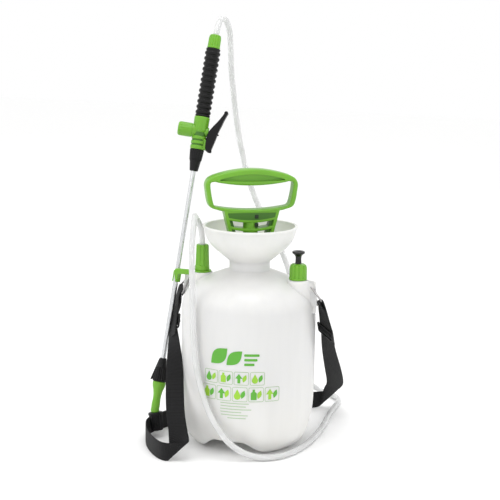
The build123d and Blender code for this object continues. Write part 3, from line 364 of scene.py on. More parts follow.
def finish_piece(name, mesh, material, body, replaced, sharp=38):
    """Link a mesh as a named piece, shade it, attach it to its body and hide the CAD part it replaces."""
    mesh.materials.clear()
    mesh.materials.append(material)
    shade(mesh, sharp)
    obj = bpy.data.objects.new(name, mesh)
    link(obj)
    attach(obj, body)
    if replaced:
        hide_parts(replaced)
    return obj


def add_shells(shape, parts, scale, weld):
    """Add (vertices, faces) shells to a bmesh and join vertices nearer than the weld."""
    for vertices, faces in parts:
        corners = [shape.verts.new(Vector(v) * scale) for v in vertices]
        for face in faces:
            shape.faces.new([corners[i] for i in face])
    bmesh.ops.remove_doubles(shape, verts=shape.verts, dist=weld)


def mesh_from(shape, name):
    """Mesh of a bmesh that is ready, with outward normals."""
    bmesh.ops.recalc_face_normals(shape, faces=shape.faces)
    mesh = bpy.data.meshes.new(name)
    shape.to_mesh(mesh)
    shape.free()
    return mesh


def build(name, parts):
    """One mesh from several shells in millimetres."""
    shape = bmesh.new()
    add_shells(shape, parts, MM, 1e-7)
    return mesh_from(shape, name)


def piece(name, parts, material, body, replaced, sharp=38):
    """Named piece made of shells."""
    return finish_piece(name, build(name, parts), material, body, replaced, sharp)


def soften(outline, cut, steps=3):
    """Round the corners of an open outline by short curves that start a cut's length from each corner."""
    points = [Vector(p) for p in outline]
    out = [points[0]]
    for before, corner, after in zip(points, points[1:], points[2:]):
        size_in = min(cut, (corner - before).length * 0.42)
        size_out = min(cut, (after - corner).length * 0.42)
        start = corner + (before - corner).normalized() * size_in
        end = corner + (after - corner).normalized() * size_out
        for step in range(steps + 1):
            t = step / steps
            out.append(start * (1 - t) ** 2 + corner * 2 * t * (1 - t) + end * t * t)
    out.append(points[-1])
    return [tuple(p) for p in out]


def through(points, steps=8):
    """Smooth curve through points (Catmull-Rom)."""
    pts = [Vector(p) for p in points]
    pts = [pts[0] * 2 - pts[1]] + pts + [pts[-1] * 2 - pts[-2]]
    out = []
    for a, b, c, d in zip(pts, pts[1:], pts[2:], pts[3:]):
        for step in range(steps):
            t = step / steps
            out.append(tuple(0.5 * (b * 2 + (c - a) * t + (a * 2 - b * 5 + c * 4 - d) * t * t
                                    + (b * 3 - a - c * 3 + d) * t ** 3)))
    out.append(tuple(pts[-2]))
    return out


def lathe(outline, matrix=WORLD, segments=96, ripple=None, ring=False, warp=None):
    """Turn (radius, height) points about local Z; ripple changes the radius, warp the final point."""
    vertices, faces = [], []
    for radius, height in outline:
        for k in range(segments):
            angle = math.tau * k / segments
            r = radius + (ripple(angle, radius, height) if ripple and radius > 0.01 else 0)
            point = Vector((r * math.cos(angle), r * math.sin(angle), height))
            if warp:
                point = warp(point)
            vertices.append(matrix @ point)
    rows = len(outline)
    for row in range(rows if ring else rows - 1):
        for k in range(segments):
            after = (k + 1) % segments
            low, high = row * segments, ((row + 1) % rows) * segments
            if outline[row][0] < 1e-6:
                faces.append((low + k, high + after, high + k))
            elif outline[(row + 1) % rows][0] < 1e-6:
                faces.append((low + k, low + after, high + k))
            else:
                faces.append((low + k, low + after, high + after, high + k))
    return vertices, faces


def flutes(count, depth, low, high, power=1.0, slant=0.0, outside=0.0):
    """Grooves between two heights, where wider than outside; slant is in radians per millimetre."""
    def ripple(angle, radius, height):
        if radius <= outside or not low <= height <= high:
            return 0.0
        return -depth * (0.5 + 0.5 * math.cos(count * (angle + slant * height))) ** power
    return ripple


def turned_piece(name, outline, material, replaced, ripple=None, cut=0.7, segments=112, body="tank",
                 matrix=LANCE):
    """Hollow turned piece with softened corners, on the lance's axis unless told otherwise."""
    shell = lathe(soften(outline, cut), matrix, segments, ripple, ring=True)
    return piece(name, [shell], material, body, replaced)


def curve_shell(curve):
    """Vertices in millimetres and faces of a curve, which is then removed."""
    obj = bpy.data.objects.new("curve", curve)
    mesh = bpy.data.meshes.new_from_object(obj)
    vertices = [v.co / MM for v in mesh.vertices]
    faces = [tuple(p.vertices) for p in mesh.polygons]
    bpy.data.objects.remove(obj)
    bpy.data.curves.remove(curve)
    bpy.data.meshes.remove(mesh)
    return vertices, faces


def plate(outlines, thickness, bevel, matrix):
    """Flat piece with rounded edges, from closed outlines: the outside, then the holes."""
    curve = bpy.data.curves.new("plate", "CURVE")
    curve.dimensions, curve.fill_mode = "2D", "BOTH"
    curve.extrude = (thickness / 2 - bevel) * MM
    curve.bevel_depth, curve.bevel_resolution, curve.offset = bevel * MM, 3, -bevel * MM
    for outline in outlines:
        spline = curve.splines.new("POLY")
        spline.points.add(len(outline) - 1)
        for point, (x, y) in zip(spline.points, outline):
            point.co = (x * MM, y * MM, 0, 1)
        spline.use_cyclic_u = True
    vertices, faces = curve_shell(curve)
    return [matrix @ v for v in vertices], faces


def carve(obj, cutter_parts):
    """Cut closed shells out of a piece."""
    mesh = build("cutter", cutter_parts)
    cutter = bpy.data.objects.new("cutter", mesh)
    link(cutter)
    modifier = obj.modifiers.new("cut", "BOOLEAN")
    modifier.operation, modifier.object, modifier.solver = "DIFFERENCE", cutter, "EXACT"
    bpy.context.view_layer.update()
    result = bpy.data.meshes.new_from_object(obj.evaluated_get(bpy.context.evaluated_depsgraph_get()))
    obj.modifiers.remove(modifier)
    obj.data = result
    bpy.data.objects.remove(cutter)
    bpy.data.meshes.remove(mesh)
    shade(result)


def arc(centre, radius, start, end, steps=12):
    """Points of an arc, angles in degrees."""
    return [(centre[0] + radius * math.cos(math.radians(start + (end - start) * i / steps)),
             centre[1] + radius * math.sin(math.radians(start + (end - start) * i / steps)))
            for i in range(steps + 1)]


def rounded_box(width, height, radius, centre=(0, 0)):
    """Outline of a rectangle with round corners."""
    x, y = width / 2 - radius, height / 2 - radius
    out = []
    for sx, sy, start in ((1, 1, 0), (-1, 1, 90), (-1, -1, 180), (1, -1, 270)):
        out += arc((centre[0] + sx * x, centre[1] + sy * y), radius, start, start + 90, 4)
    return out


# -------- hose and strap
def nurbs(name, points):
    """Curve of one open NURBS spline with given control points in millimetres."""
    curve = bpy.data.curves.new(name, "CURVE")
    curve.dimensions = "3D"
    spline = curve.splines.new("NURBS")
    spline.points.add(len(points) - 1)
    for point, position in zip(spline.points, points):
        point.co = (*(Vector(position) * MM), 1)
    spline.order_u = 3
    spline.use_endpoint_u = True
    curve.resolution_u = 10
    return curve


def make_hose():
    """Clear hose from the lance's nut, up and over, behind the tank, round it and up to the outlet."""
    bore_curve = nurbs("hose_bore", HOSE_ROUTE)
    bore_curve.bevel_depth, bore_curve.bevel_resolution = HOSE_BORE / 2 * MM, 5
    bore_curve.materials.append(BORE)
    bore = bpy.data.objects.new("hose_bore", bore_curve)
    curve = nurbs("hose_skin", HOSE_ROUTE)
    curve.bevel_depth, curve.bevel_resolution, curve.use_fill_caps = HOSE_DIAMETER / 2 * MM, 6, True
    curve.materials.append(HOSE)
    hose = bpy.data.objects.new("hose_skin", curve)
    for obj in (bore, hose):
        link(obj)
        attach(obj, "tank")
    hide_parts("hose")


def spline_points(points):
    """Points read from a NURBS spline through which nothing is swept."""
    return curve_shell(nurbs("edge", points))[0]


def ribbon(name, stations, columns=8):
    """Webbing between two NURBS edges, with rounded selvedges and a UV map in millimetres."""
    one = spline_points([Vector(c) + h for c, h in stations])
    two = spline_points([Vector(c) - h for c, h in stations])
    centre = [(a + b) / 2 for a, b in zip(one, two)]
    half = STRAP_THICKNESS / 2
    section = [(-1 + 2 * i / columns, half) for i in range(columns + 1)]
    section += [(1.03, half * 0.3), (1.03, -half * 0.3)]
    section += [(1 - 2 * i / columns, -half) for i in range(columns + 1)]
    section += [(-1.03, -half * 0.3), (-1.03, half * 0.3)]
    shape = bmesh.new()
    layer = shape.loops.layers.uv.new("UVMap")
    rows, along, travelled = [], [], 0.0
    for i, middle in enumerate(centre):
        tangent = centre[min(i + 1, len(centre) - 1)] - centre[max(i - 1, 0)]
        width = (one[i] - two[i]) / 2
        normal = width.cross(tangent).normalized()
        travelled += (middle - centre[i - 1]).length if i else 0.0
        along.append(travelled)
        rows.append([shape.verts.new((middle + width * u + normal * v) * MM) for u, v in section])
    count = len(section)
    for i in range(len(rows) - 1):
        for j in range(count):
            k = (j + 1) % count
            made = shape.faces.new((rows[i][j], rows[i][k], rows[i + 1][k], rows[i + 1][j]))
            for loop, (row, column) in zip(made.loops, ((i, j), (i, k), (i + 1, k), (i + 1, j))):
                loop[layer].uv = (section[column][0] * HALF, along[row])
    for row in (rows[0], rows[-1]):
        shape.faces.new(row)
    return mesh_from(shape, name), [c * MM for c in centre]


def woven_route():
    """The strap's stations, with the bends through the two sliders."""
    out = []
    for index, (centre, half) in enumerate(STRAP_ROUTE):
        if index not in SLIDERS.values():
            out.append((Vector(centre), half))
            continue
        before, after = Vector(STRAP_ROUTE[index - 1][0]), Vector(STRAP_ROUTE[index + 1][0])
        tangent = (after - before).normalized()
        width = (half - tangent * half.dot(tangent)).normalized()
        off = width.cross(tangent)
        out += [(Vector(centre) + tangent * t + off * rise, width * HALF) for t, rise in WEAVE]
    return out


def slider_place(name):
    """Frame of a slider: X across the strap, Y along it."""
    index = SLIDERS[name]
    centre, half = STRAP_ROUTE[index]
    tangent = (Vector(STRAP_ROUTE[index + 1][0]) - Vector(STRAP_ROUTE[index - 1][0])).normalized()
    width = (half - tangent * half.dot(tangent)).normalized()
    return place(centre, width, width.cross(tangent)), tangent, width


def ring_points(name):
    """Middle and direction of the ring's bar, in millimetres."""
    sign = -1 if name == "left" else 1
    hang = RING_HANG[name]
    bar = (RING_BAR[name] - hang * RING_BAR[name].dot(hang)).normalized()
    return Vector((sign * TAB_HOLE_X, 0, TAB_HOLE_Z)) + hang * RING_HEIGHT, bar, hang


def make_strap():
    """Shoulder strap with its loops round the ring bars, its tails and its two sliders."""
    mesh, path = ribbon("strap_webbing", woven_route())
    for name, side in (("left", 1), ("right", -1)):
        frame_of, tangent, width = slider_place(name)
        slots = [rounded_box(STRAP_WIDTH + 1.4, 6.0, 1.4, (0, y)) for y in (-5.6, 5.6)]
        slider = plate([rounded_box(32, 22, 3), *slots], 2.6, 0.9, frame_of)
        piece(f"slider_{name}_moulded", [slider], BLACK, "tank", f"slider_{name}")
        bar_centre, bar, hang = ring_points(name)
        down, off = tangent * side, bar.cross(hang).normalized() * side
        middle = Vector(STRAP_ROUTE[SLIDERS[name]][0])
        clear = RING_WIRE + STRAP_THICKNESS * 0.7
        spread = width * HALF * (1 if width.dot(bar) > 0 else -1)
        loop = [
            (bar_centre + off * clear + hang * 3, bar * HALF),
            (bar_centre + off * clear - hang * clear, bar * HALF),
            (bar_centre - off * clear - hang * clear, bar * HALF),
            (bar_centre - off * clear + hang * 4, bar * HALF),
            (middle - down * 20 - off * 1.8, spread),
            (middle - down * 6 - off * 3.4, spread),
            (middle + down * 22 - off * 3.0, spread),
        ]
        tail = ribbon(f"strap_loop_{name}", loop)[0]
        finish_piece(f"strap_loop_{name}", tail, WEBBING, "tank", None, 60)
    strap = finish_piece("strap_webbing", mesh, WEBBING, "tank", "shoulder_strap", 60)


make_hose()
make_strap()


# -------- tank
def smooth_max(a, b, blend):
    """Larger of two values, with a soft change from one to the other."""
    t = max(0.0, min(1.0, 0.5 + 0.5 * (a - b) / blend))
    return b * (1 - t) + a * t + blend * t * (1 - t) * 0.5


def lobed_base(point):
    """Raise and draw in the three valleys between the feet."""
    if point.z > VALLEY_TOP:
        return point
    x, y, z = point
    for valley in (-90, 30, 150):
        out = Vector((math.cos(math.radians(valley)), math.sin(math.radians(valley)), 0))
        along, sideways = point.dot(out), abs(point.x * out.y - point.y * out.x)
        fall = min(1.0, max(0.0, (sideways - VALLEY_FLAT) / VALLEY_SIDE))
        share = (0.5 + 0.5 * math.cos(math.pi * fall)) * min(1.0, max(0.0, (along - 5) / 30))
        if share < 0.01:
            continue
        z = max(z, smooth_max(point.z, VALLEY_RISE * share, 5.0))
        inward = VALLEY_DRAW * share * (1 - point.z / VALLEY_TOP) ** 1.5 * min(1.0, along / TANK_RADIUS)
        x, y = x - out.x * inward, y - out.y * inward
    return Vector((x, y, z))


def make_tank():
    """Blow-moulded tank with its funnel: one closed shell, the feet shaped at the base."""
    lip, rim_bore, neck_bore = FUNNEL_RADIUS + 1.6, FUNNEL_RADIUS - WALL, NECK_RADIUS - WALL
    outside = [(r, 0.0) for r in (0, 15, 25, 33, 40, 46, 52, 56)]
    outside += through([(59, 0), (66, 0.7), (74, 3.4), (81, 8.6), (86.5, 16), (90.3, 26), (92.6, 38),
                        (93.9, 54), (94.8, 80), (TANK_RADIUS, 110)], 5)
    outside += through([
        (TANK_RADIUS, SHOULDER_Z - 18), (94.7, 195), (93.2, 206.5), (89, 216.5), (81.5, 225), (70, 232.8),
        (56, 239.3), (43, 244.6), (33.5, 248.2), (30, 249.5), (NECK_RADIUS, 251.2)
    ], 6)
    outside += through([(NECK_RADIUS, NECK_TOP_Z + 0.4), (30, 263), (34.4, 266.6), (41.6, 272.6),
                        (51, 280.6), (58.7, 290), (63.4, 300), (FUNNEL_RADIUS, RIM_Z - 3)], 5)
    rim = soften([
        (FUNNEL_RADIUS, RIM_Z - 3), (lip, RIM_Z - 2.8), (lip, RIM_Z), (rim_bore, RIM_Z), (rim_bore, RIM_Z - 3)
    ], 0.7)
    inside = through([(rim_bore, RIM_Z - 4), (60.8, 300), (56.1, 291), (48.7, 282.6), (39.6, 275.2),
                      (32.4, 269), (NECK_RADIUS - 1.4, 264.6)], 5)
    inside += [(neck_bore, 262), (neck_bore, 247)]
    inside += through([(neck_bore, 246), (47, 239.5), (78, 223.5), (90.5, 206), (92.2, 190)], 5)
    inside += [(92.0, 112), (90, 70), (84, 44), (60, 29.5), (0, 29)]
    shell = lathe(outside + rim[1:] + inside, segments=180, warp=lobed_base)
    piece("tank_moulding", [shell], TANK, "tank", "tank", 50)


def make_boss(side, name):
    """Flat-topped boss with its stub and the thin tab with the ring's hole."""
    flip = Matrix.Scale(side, 4, (1, 0, 0))
    hole = arc((TAB_HOLE_X, TAB_HOLE_Z), 5.2, 0, 360, 24)[:-1]
    tab_outline = rounded_box(TAB_OUT - 60, 46, 2.2, ((TAB_OUT + 60) / 2, BOSS_TOP_Z - 23))
    tab = plate([tab_outline, hole], 3.6, 0.8, flip @ place((0, 0, 0), (1, 0, 0), (0, -1, 0)))
    # the boss spreads into the tab along a tapered neck
    top = arc((BOSS_X, 0), BOSS_RADIUS, 40, 320, 28) + [(88, -2.6), (94, -1.9), (94, 1.9), (88, 2.6)]
    levels = ((5.0, 205), (3.2, 226), (1.6, 234), (0.4, BOSS_TOP_Z - 1.2), (-0.9, BOSS_TOP_Z))
    vertices, faces = [], []
    for grow, z in levels:
        spread = 1 + grow / BOSS_RADIUS
        vertices += [flip @ Vector((BOSS_X + (x - BOSS_X) * spread, y * spread, z)) for x, y in top]
    count = len(top)
    last = (len(levels) - 1) * count
    for low in range(0, last, count):
        steps = [(low + k, low + (k + 1) % count) for k in range(count)]
        faces += [(one, two, two + count, one + count) for one, two in steps]
    faces += [tuple(range(count))[::-1], tuple(range(last, last + count))]
    stub_foot = BOSS_TOP_Z - 2
    stub_outline = soften([(5.6, stub_foot), (8, stub_foot), (8, STUB_TOP_Z), (5.6, STUB_TOP_Z)], 0.6)
    stub = lathe(stub_outline, flip @ RELIEF, 48, ring=True)
    piece(name, [tab, (vertices, faces), stub], TANK, "tank", "tank", 40)


make_tank()
make_boss(-1, "tank_boss_left")
make_boss(1, "tank_boss_right")


# -------- print on the tank
def on_wall(angle, height):
    """Place on the tank's unrolled wall, from an angle in degrees and a height."""
    return math.radians(angle) * TANK_RADIUS, height


def wall_radius(height):
    """Outside radius of the tank's printed wall."""
    for (low, r_low), (high, r_high) in zip(WALL_PLACES, WALL_PLACES[1:]):
        if height < high:
            return r_low + (r_high - r_low) * (height - low) / (high - low)
    return TANK_RADIUS


def printed(name, figures, material):
    """Thin layer of ink on the wall, from lists of closed outlines."""
    shape = bmesh.new()
    add_shells(shape, [plate(outlines, 0.2, 0, WORLD) for outlines in figures], 1, 1e-4)
    for step in range(48):
        bmesh.ops.bisect_plane(shape, geom=shape.verts[:] + shape.edges[:] + shape.faces[:],
                               plane_co=(-186 + step * 2.7, 0, 0), plane_no=(1, 0, 0))
    for corner in shape.verts:
        angle, radius = corner.co.x / TANK_RADIUS, wall_radius(corner.co.y) + 0.2 + corner.co.z
        corner.co = Vector((radius * math.cos(angle), radius * math.sin(angle), corner.co.y)) * MM
    finish_piece(name, mesh_from(shape, name), material, "tank", "tank")


def drop(x, y, size):
    """Drop with its point at the top."""
    return arc((x, y - size * 0.18), size * 0.32, -220, 40, 16) + [(x, y + size * 0.5)]


def leaf(start, end, bulge):
    """Pointed leaf between two points."""
    a, b = Vector(start), Vector(end)
    side = Vector((a.y - b.y, b.x - a.x)) * bulge
    one = [tuple(a.lerp(b, i / 12) + side * math.sin(math.pi * i / 12)) for i in range(13)]
    return one + [tuple(a.lerp(b, i / 12) - side * math.sin(math.pi * i / 12)) for i in range(11, 0, -1)]


def arrow(x, y, size):
    """Plain arrow that points up."""
    h = size / 2
    corners = ((-0.3, -1), (0.3, -1), (0.3, 0), (0.75, 0), (0, 1), (-0.75, 0), (-0.3, 0))
    return [(x + h * u, y + h * v) for u, v in corners]


def flask(x, y, size):
    """Outline of a bottle."""
    h = size / 2
    right = [(0.55, -1), (0.55, 0.3), (0.22, 0.6), (0.22, 1)]
    return [(x + h * u, y + h * v) for u, v in [(-0.55, -1)] + right + [(-u, v) for u, v in right[:0:-1]]]


def make_print():
    """Generic leaf mark, two rows of framed pictograms and plain lines."""
    mark = [[leaf(on_wall(-102, 134), on_wall(-87.5, 156.5), 0.30)],
            [leaf(on_wall(-88, 133.5), on_wall(-75, 154), 0.28)]]
    mark += [[rounded_box(width, 3.4, 1.2, on_wall(-67 - shift, height))]
             for width, shift, height in ((21, 0, 148.5), (18, 0.8, 142), (14, 2, 135.5))]
    frames, green, lime = [], [], []
    shapes = (drop, flask, arrow)
    for row, (low, high, first, last, count) in enumerate(PRINT_ROWS):
        pitch, tall = (last - first) / count, high - low
        width, size = math.radians(pitch) * TANK_RADIUS - 1.6, tall * 0.72
        for k in range(count):
            x, y = on_wall(first + pitch * (k + 0.5), (low + high) / 2)
            frames.append([rounded_box(width, tall, 2.2, (x, y)),
                           rounded_box(width - 1.2, tall - 1.2, 1.7, (x, y))[::-1]])
            target, other = ((green, lime), (lime, green))[(k + row) % 2]
            target.append([shapes[(k + row) % 3](x - 3.4, y, size)])
            other.append([leaf((x + 2.4, y - size * 0.4), (x + 6.4, y + size * 0.4), 0.24)])
    frames += [[rounded_box(width, 0.9, 0.3, on_wall(-81 + shift, 80 - 4.2 * k))]
               for k, (width, shift) in enumerate(((40, 0), (36, -1), (44, 1), (30, -3), (38, 0), (26, 2)))]
    printed("print_mark", mark, PRINT)
    printed("print_figures", green, PRINT)
    printed("print_leaves", lime, PRINT_LIME)
    printed("print_frames", frames, PRINT_PALE)


make_print()


# -------- pump handle
def bow(x, middle, edge, half):
    """Height of a shallow arch at x, from its middle and its ends."""
    return middle + (edge - middle) * (x / half) ** 2


def basket_x(z):
    """Half width of the tapered frame in the funnel at a height."""
    head = LOWER_BAR_Z + 5
    return 28 + (40 - 28) * (z - HANDLE_FOOT_Z) / (head - HANDLE_FOOT_Z)


def both_sides(points, thickness, bevel):
    """The same plate on the right and on the left of the handle's middle."""
    return [plate([[(sign * x, z) for x, z in points][::sign]], thickness, bevel, HANDLE) for sign in (1, -1)]


def make_grip_bars():
    """D of the handle with its lens-shaped recess."""
    half, top, low = HANDLE_HALF, HANDLE_TOP_Z, LOWER_BAR_Z
    right = through([
        (half - 12, top - 9), (half - 4.5, top - 13.5), (half - 0.6, top - 21), (half - 1.4, top - 31),
        (half - 3.4, top - 44), (half - 7.6, top - 53), (half - 20, low + 4)
    ], 4)
    outer = [(x, bow(x, top, top - 9, half - 12)) for x in range(-54, 55, 6)] + right[1:]
    outer += [(x, bow(x, low - 1, low + 4, 46)) for x in range(40, -41, -8)]
    outer += [(-x, z) for x, z in reversed(right)][:-1]
    half -= 6.8
    left = through([(-half + 7, top - 17.4), (-half + 1.2, top - 18.6), (-half + 0.4, top - 25),
                    (-half + 3, top - 41), (-half + 6.5, low + 10.6), (-half + 15, low + 8.2)], 4)
    opening = [(x, bow(x, top - 23, top - 17.6, half - 6)) for x in range(48, -49, -6)] + left
    opening += [(x, bow(x, low + 4.6, low + 7.8, 42)) for x in range(-36, 37, 8)]
    opening += [(-x, z) for x, z in reversed(left)]
    grip = plate([outer, opening], HANDLE_DEPTH, 3.2, HANDLE)
    handle = piece("handle_moulding", [grip], GREEN, "handle", "pump_handle")
    lens = [(x, bow(x, top - 7, top - 14.6, 47)) for x in range(-46, 47, 4)]
    lens += [(x, bow(x, top - 17.2, top - 15.6, 47)) for x in range(46, -47, -4)]
    for face in (1, -1):
        at = Matrix.Translation((0, 0, face * (HANDLE_DEPTH / 2 + 1.2)))
        carve(handle, [plate([lens], 12, 0.5, HANDLE @ at)])
    core = plate([[(x * 0.985, z) for x, z in lens]], 12, 0.3, HANDLE)
    piece("handle_web", [core], GREEN, "handle", "pump_handle")


def make_basket():
    """Frame in the funnel: tapered sides, sagging ribs, column, foot ring, painted shade on its inner walls.
    """
    foot, head = HANDLE_FOOT_Z, LOWER_BAR_Z + 5
    basket = both_sides([(basket_x(foot) - 4.6, foot), (basket_x(foot), foot), (basket_x(head), head),
                         (basket_x(head) - 4.6, head)], HANDLE_DEPTH, 1.1)
    for level, sag, half in ((foot + 1.5, 0.0, basket_x(foot) - 2), (311.0, 4.6, basket_x(311) - 2),
                             (323.4, 4.6, basket_x(323) - 2), (head - 3, 0.0, basket_x(head) - 3)):
        sagged = [(half * k / 10, level - sag * (1 - (k / 10) ** 2)) for k in range(-10, 11)]
        rib = [(x, z - 1.9) for x, z in sagged] + [(x, z + 1.9) for x, z in sagged[::-1]]
        basket.append(plate([rib], HANDLE_DEPTH - 0.4, 0.8, HANDLE))
    column = lathe(soften([
        (7.0, foot), (11.2, foot), (10.5, foot + 3), (10.5, LOWER_BAR_Z + 3), (7.0, LOWER_BAR_Z + 3)
    ], 0.8), segments=64, ring=True)
    ring = lathe(soften([(10, foot), (29.5, foot), (29.5, foot + 3.4), (10, foot + 3.4), (10, foot)], 0.8),
                 segments=72)
    piece("handle_frame", [*basket, column, ring], GREEN, "handle", "pump_handle")
    # painted shade: dark green back wall and inner walls of the frame's windows
    back = plate([[(-32, 320), (32, 320), (34, 331), (-34, 331)]], 21.3, 0.3, HANDLE)
    inner_walls = both_sides([(basket_x(292) - 10, 292), (basket_x(292) - 3, 292), (basket_x(321) - 3, 321),
                              (basket_x(321) - 9, 321)], 14, 0.4)
    piece("handle_recess", [back, *inner_walls], PAINTED_SHADE_GREEN, "handle", "pump_handle")
    # painted shadow: near-black squares for the slots in the back wall
    front = HANDLE @ Matrix.Translation((0, 0, 9.4))
    slots = [plate([rounded_box(5.4, 5.4, 0.8, (6.5, z))], 3.6, 0.2, front) for z in (325.6, 313.6)]
    piece("handle_slot", slots, SHADOW_GREEN, "handle", "pump_handle")


make_grip_bars()
make_basket()


# -------- outlet and relief valve
def make_outlet():
    """Tall ribbed nut with its plain collar."""
    low = NUT_FOOT_Z
    top = low + NUT_HEIGHT
    ribs = flutes(9, 1.3, low + 7.4, low + 36, 1.6, outside=7.5)
    turned_piece("outlet_nut_ribbed", [
        (8.05, low), (10.4, low), (10.3, low + 6.0), (9.9, low + 6.8), (9.9, low + 9), (9.4, low + 22),
        (9.0, low + 35.2), (8.2, top), (4.7, top), (4.7, low + 16), (8.05, low + 14)
    ], GREEN, "outlet_nut", ribs, segments=120, matrix=OUTLET)


def make_relief():
    """Ribbed relief cap with a rounded shoulder, and the flared knob that pulls it open."""
    low, high = RELIEF_FOOT_Z, RELIEF_TOP_Z
    ribs = flutes(11, 1.5, low + 3.3, high - 1.6, 2.6, outside=8.3)
    turned_piece("relief_cap_ribbed", [
        (8.05, low), (12.5, low), (12.5, low + 3), (12.3, low + 3.6), (12.2, high - 6), (11.2, high - 2),
        (8.6, high - 0.2), (6.2, high), (2.05, high), (2.05, high - 5.0), (8.05, high - 5.0)
    ], GREEN, "relief_cap", ribs, cut=0.9, segments=140, matrix=RELIEF)
    knob = [(0, 234.4), (3.9, 234.4), (3.9, 236.8), (2.0, 236.8), (2.0, high + 0.4), (4.4, high + 0.4)]
    knob += through([
        (4.3, high + 3), (4.1, high + 7), (4.6, high + 10.5), (6.6, high + 13), (8.7, high + 14.8)
    ], 5)
    knob += soften([(8.7, high + 14.8), (9.0, high + 16.6), (8.4, KNOB_TOP_Z), (7.4, KNOB_TOP_Z - 0.3),
                    (4.5, KNOB_TOP_Z - 1.7), (0, KNOB_TOP_Z - 2.3)], 0.6)[1:]
    piece("relief_knob_turned", [lathe(knob, RELIEF, 72)], GLOSS, "relief", "relief_knob")


make_outlet()
make_relief()


# -------- lance and its clip
def make_grip():
    """Hose nut and the ribbed rubber grip."""
    foot, top = GRIP_TOP, LANCE_TOP
    turned_piece("hose_nut_ribbed", [
        (6.2, foot), (9.3, foot), (9.4, foot + 2.4), (9.1, foot + 3), (8.9, top - 5), (8.0, top - 1.4),
        (6.6, top), (4.6, top), (4.6, foot + 9.5), (6.2, foot + 8.5)
    ], GREEN, "hose_nut", flutes(14, 0.9, foot + 2.8, top - 2, 1.6, outside=6.8))
    ribs, rib_shape = 12, ((9.4, 0), (11.1, 0.16), (11.2, 0.56), (9.4, 0.74))
    pitch = (GRIP_TOP - VALVE_HIGH - 6) / ribs
    outline = [(6.05, VALVE_HIGH + 0.3), (10.7, VALVE_HIGH + 0.3), (10.7, VALVE_HIGH + 3)]
    for rib in range(ribs):
        low = VALVE_HIGH + 3.6 + rib * pitch
        outline += [(radius, low + pitch * share) for radius, share in rib_shape]
    outline += [(10.4, GRIP_TOP - 2.0), (10.2, GRIP_TOP - 0.3), (6.05, GRIP_TOP - 0.3)]
    turned_piece("grip_ribbed", outline, RUBBER, "grip_sleeve", cut=0.9, segments=72)


def make_valve():
    """Valve body with its cross tube and ears, dark rings of painted shade in its grooves, and the ribbed
    side cap.
    """
    low, high = VALVE_LOW, VALVE_HIGH
    bands = [(10.2, low - 0.2), (10.7, low + 2)]
    for groove in (5, 11.6):
        bands += [(10.7, low + groove), (9.5, low + groove + 0.3), (9.5, low + groove + 2.5),
                  (10.7, low + groove + 2.8)]
    bands += [(10.7, low + 18.2), (9.7, low + 18.6), (9.7, low + 25), (10.9, low + 27), (11.3, high - 1),
              (10.6, high)]
    core = soften([(0, low - 12), (5.0, low - 12), (5.0, low - 0.2), *bands, (0, high)], 0.5)
    body = lathe(core, LANCE, 144, flutes(10, 0.7, low + 27, high - 1.5, 2.5, outside=10.8))
    # dark green rings in the grooves: painted shade
    groove_shades = [lathe([(9.3, start), (radius, start), (radius, end), (9.3, end)], LANCE, 72, ring=True)
             for radius, start, end in ((9.65, low + 5.5, low + 7.3), (9.65, low + 12.1, low + 13.9),
                                        (9.85, low + 18.9, low + 24.6))]
    piece("valve_recess", groove_shades, PAINTED_SHADE_GREEN, "tank", "valve_body")
    tube = lathe(soften([
        (0, -15.1), (9.4, -15.1), (9.4, -9), (8.6, -4), (7.2, 4), (7.0, 12.4), (2.6, 12.4), (2.6, 8), (0, 8)
    ], 0.8), STEM, 64)
    ear = through([(6, PIVOT_S + 14), (PIVOT_X + 3, PIVOT_S + 6.5), (PIVOT_X + 4.6, PIVOT_S + 1),
                   (PIVOT_X + 1.5, PIVOT_S - 4), (PIVOT_X - 4, PIVOT_S - 2.8), (4, PIVOT_S - 1.8)], 4)
    ears = [plate([ear], 1.3, 0.4, MIDDLE @ Matrix.Translation((0, 0, side * 6.95))) for side in (-1, 1)]
    cheek = plate([[(2, low + 2), (9.3, low + 2), (9.3, low + 16), (2, low + 16)]], 15.2, 1.0, MIDDLE)
    piece("valve_moulding", [body, tube, *ears, cheek], GREEN, "tank", "valve_body")
    cap = soften([(0, -31.6), (3, -31.8), (5.5, -32), (8.4, -32), (9.9, -30.4), (10.2, -28), (10.2, -13),
                  (9.9, -11.6), (9.5, -11.6), (9.5, -15.3), (6.0, -15.3), (6.0, -27), (0, -27)], 0.8)
    piece("valve_cap_ribbed", [lathe(cap, STEM, 128, flutes(16, 0.8, -29.5, -14.5, 1.8, outside=9.7))],
          GREEN, "tank", "valve_cap")


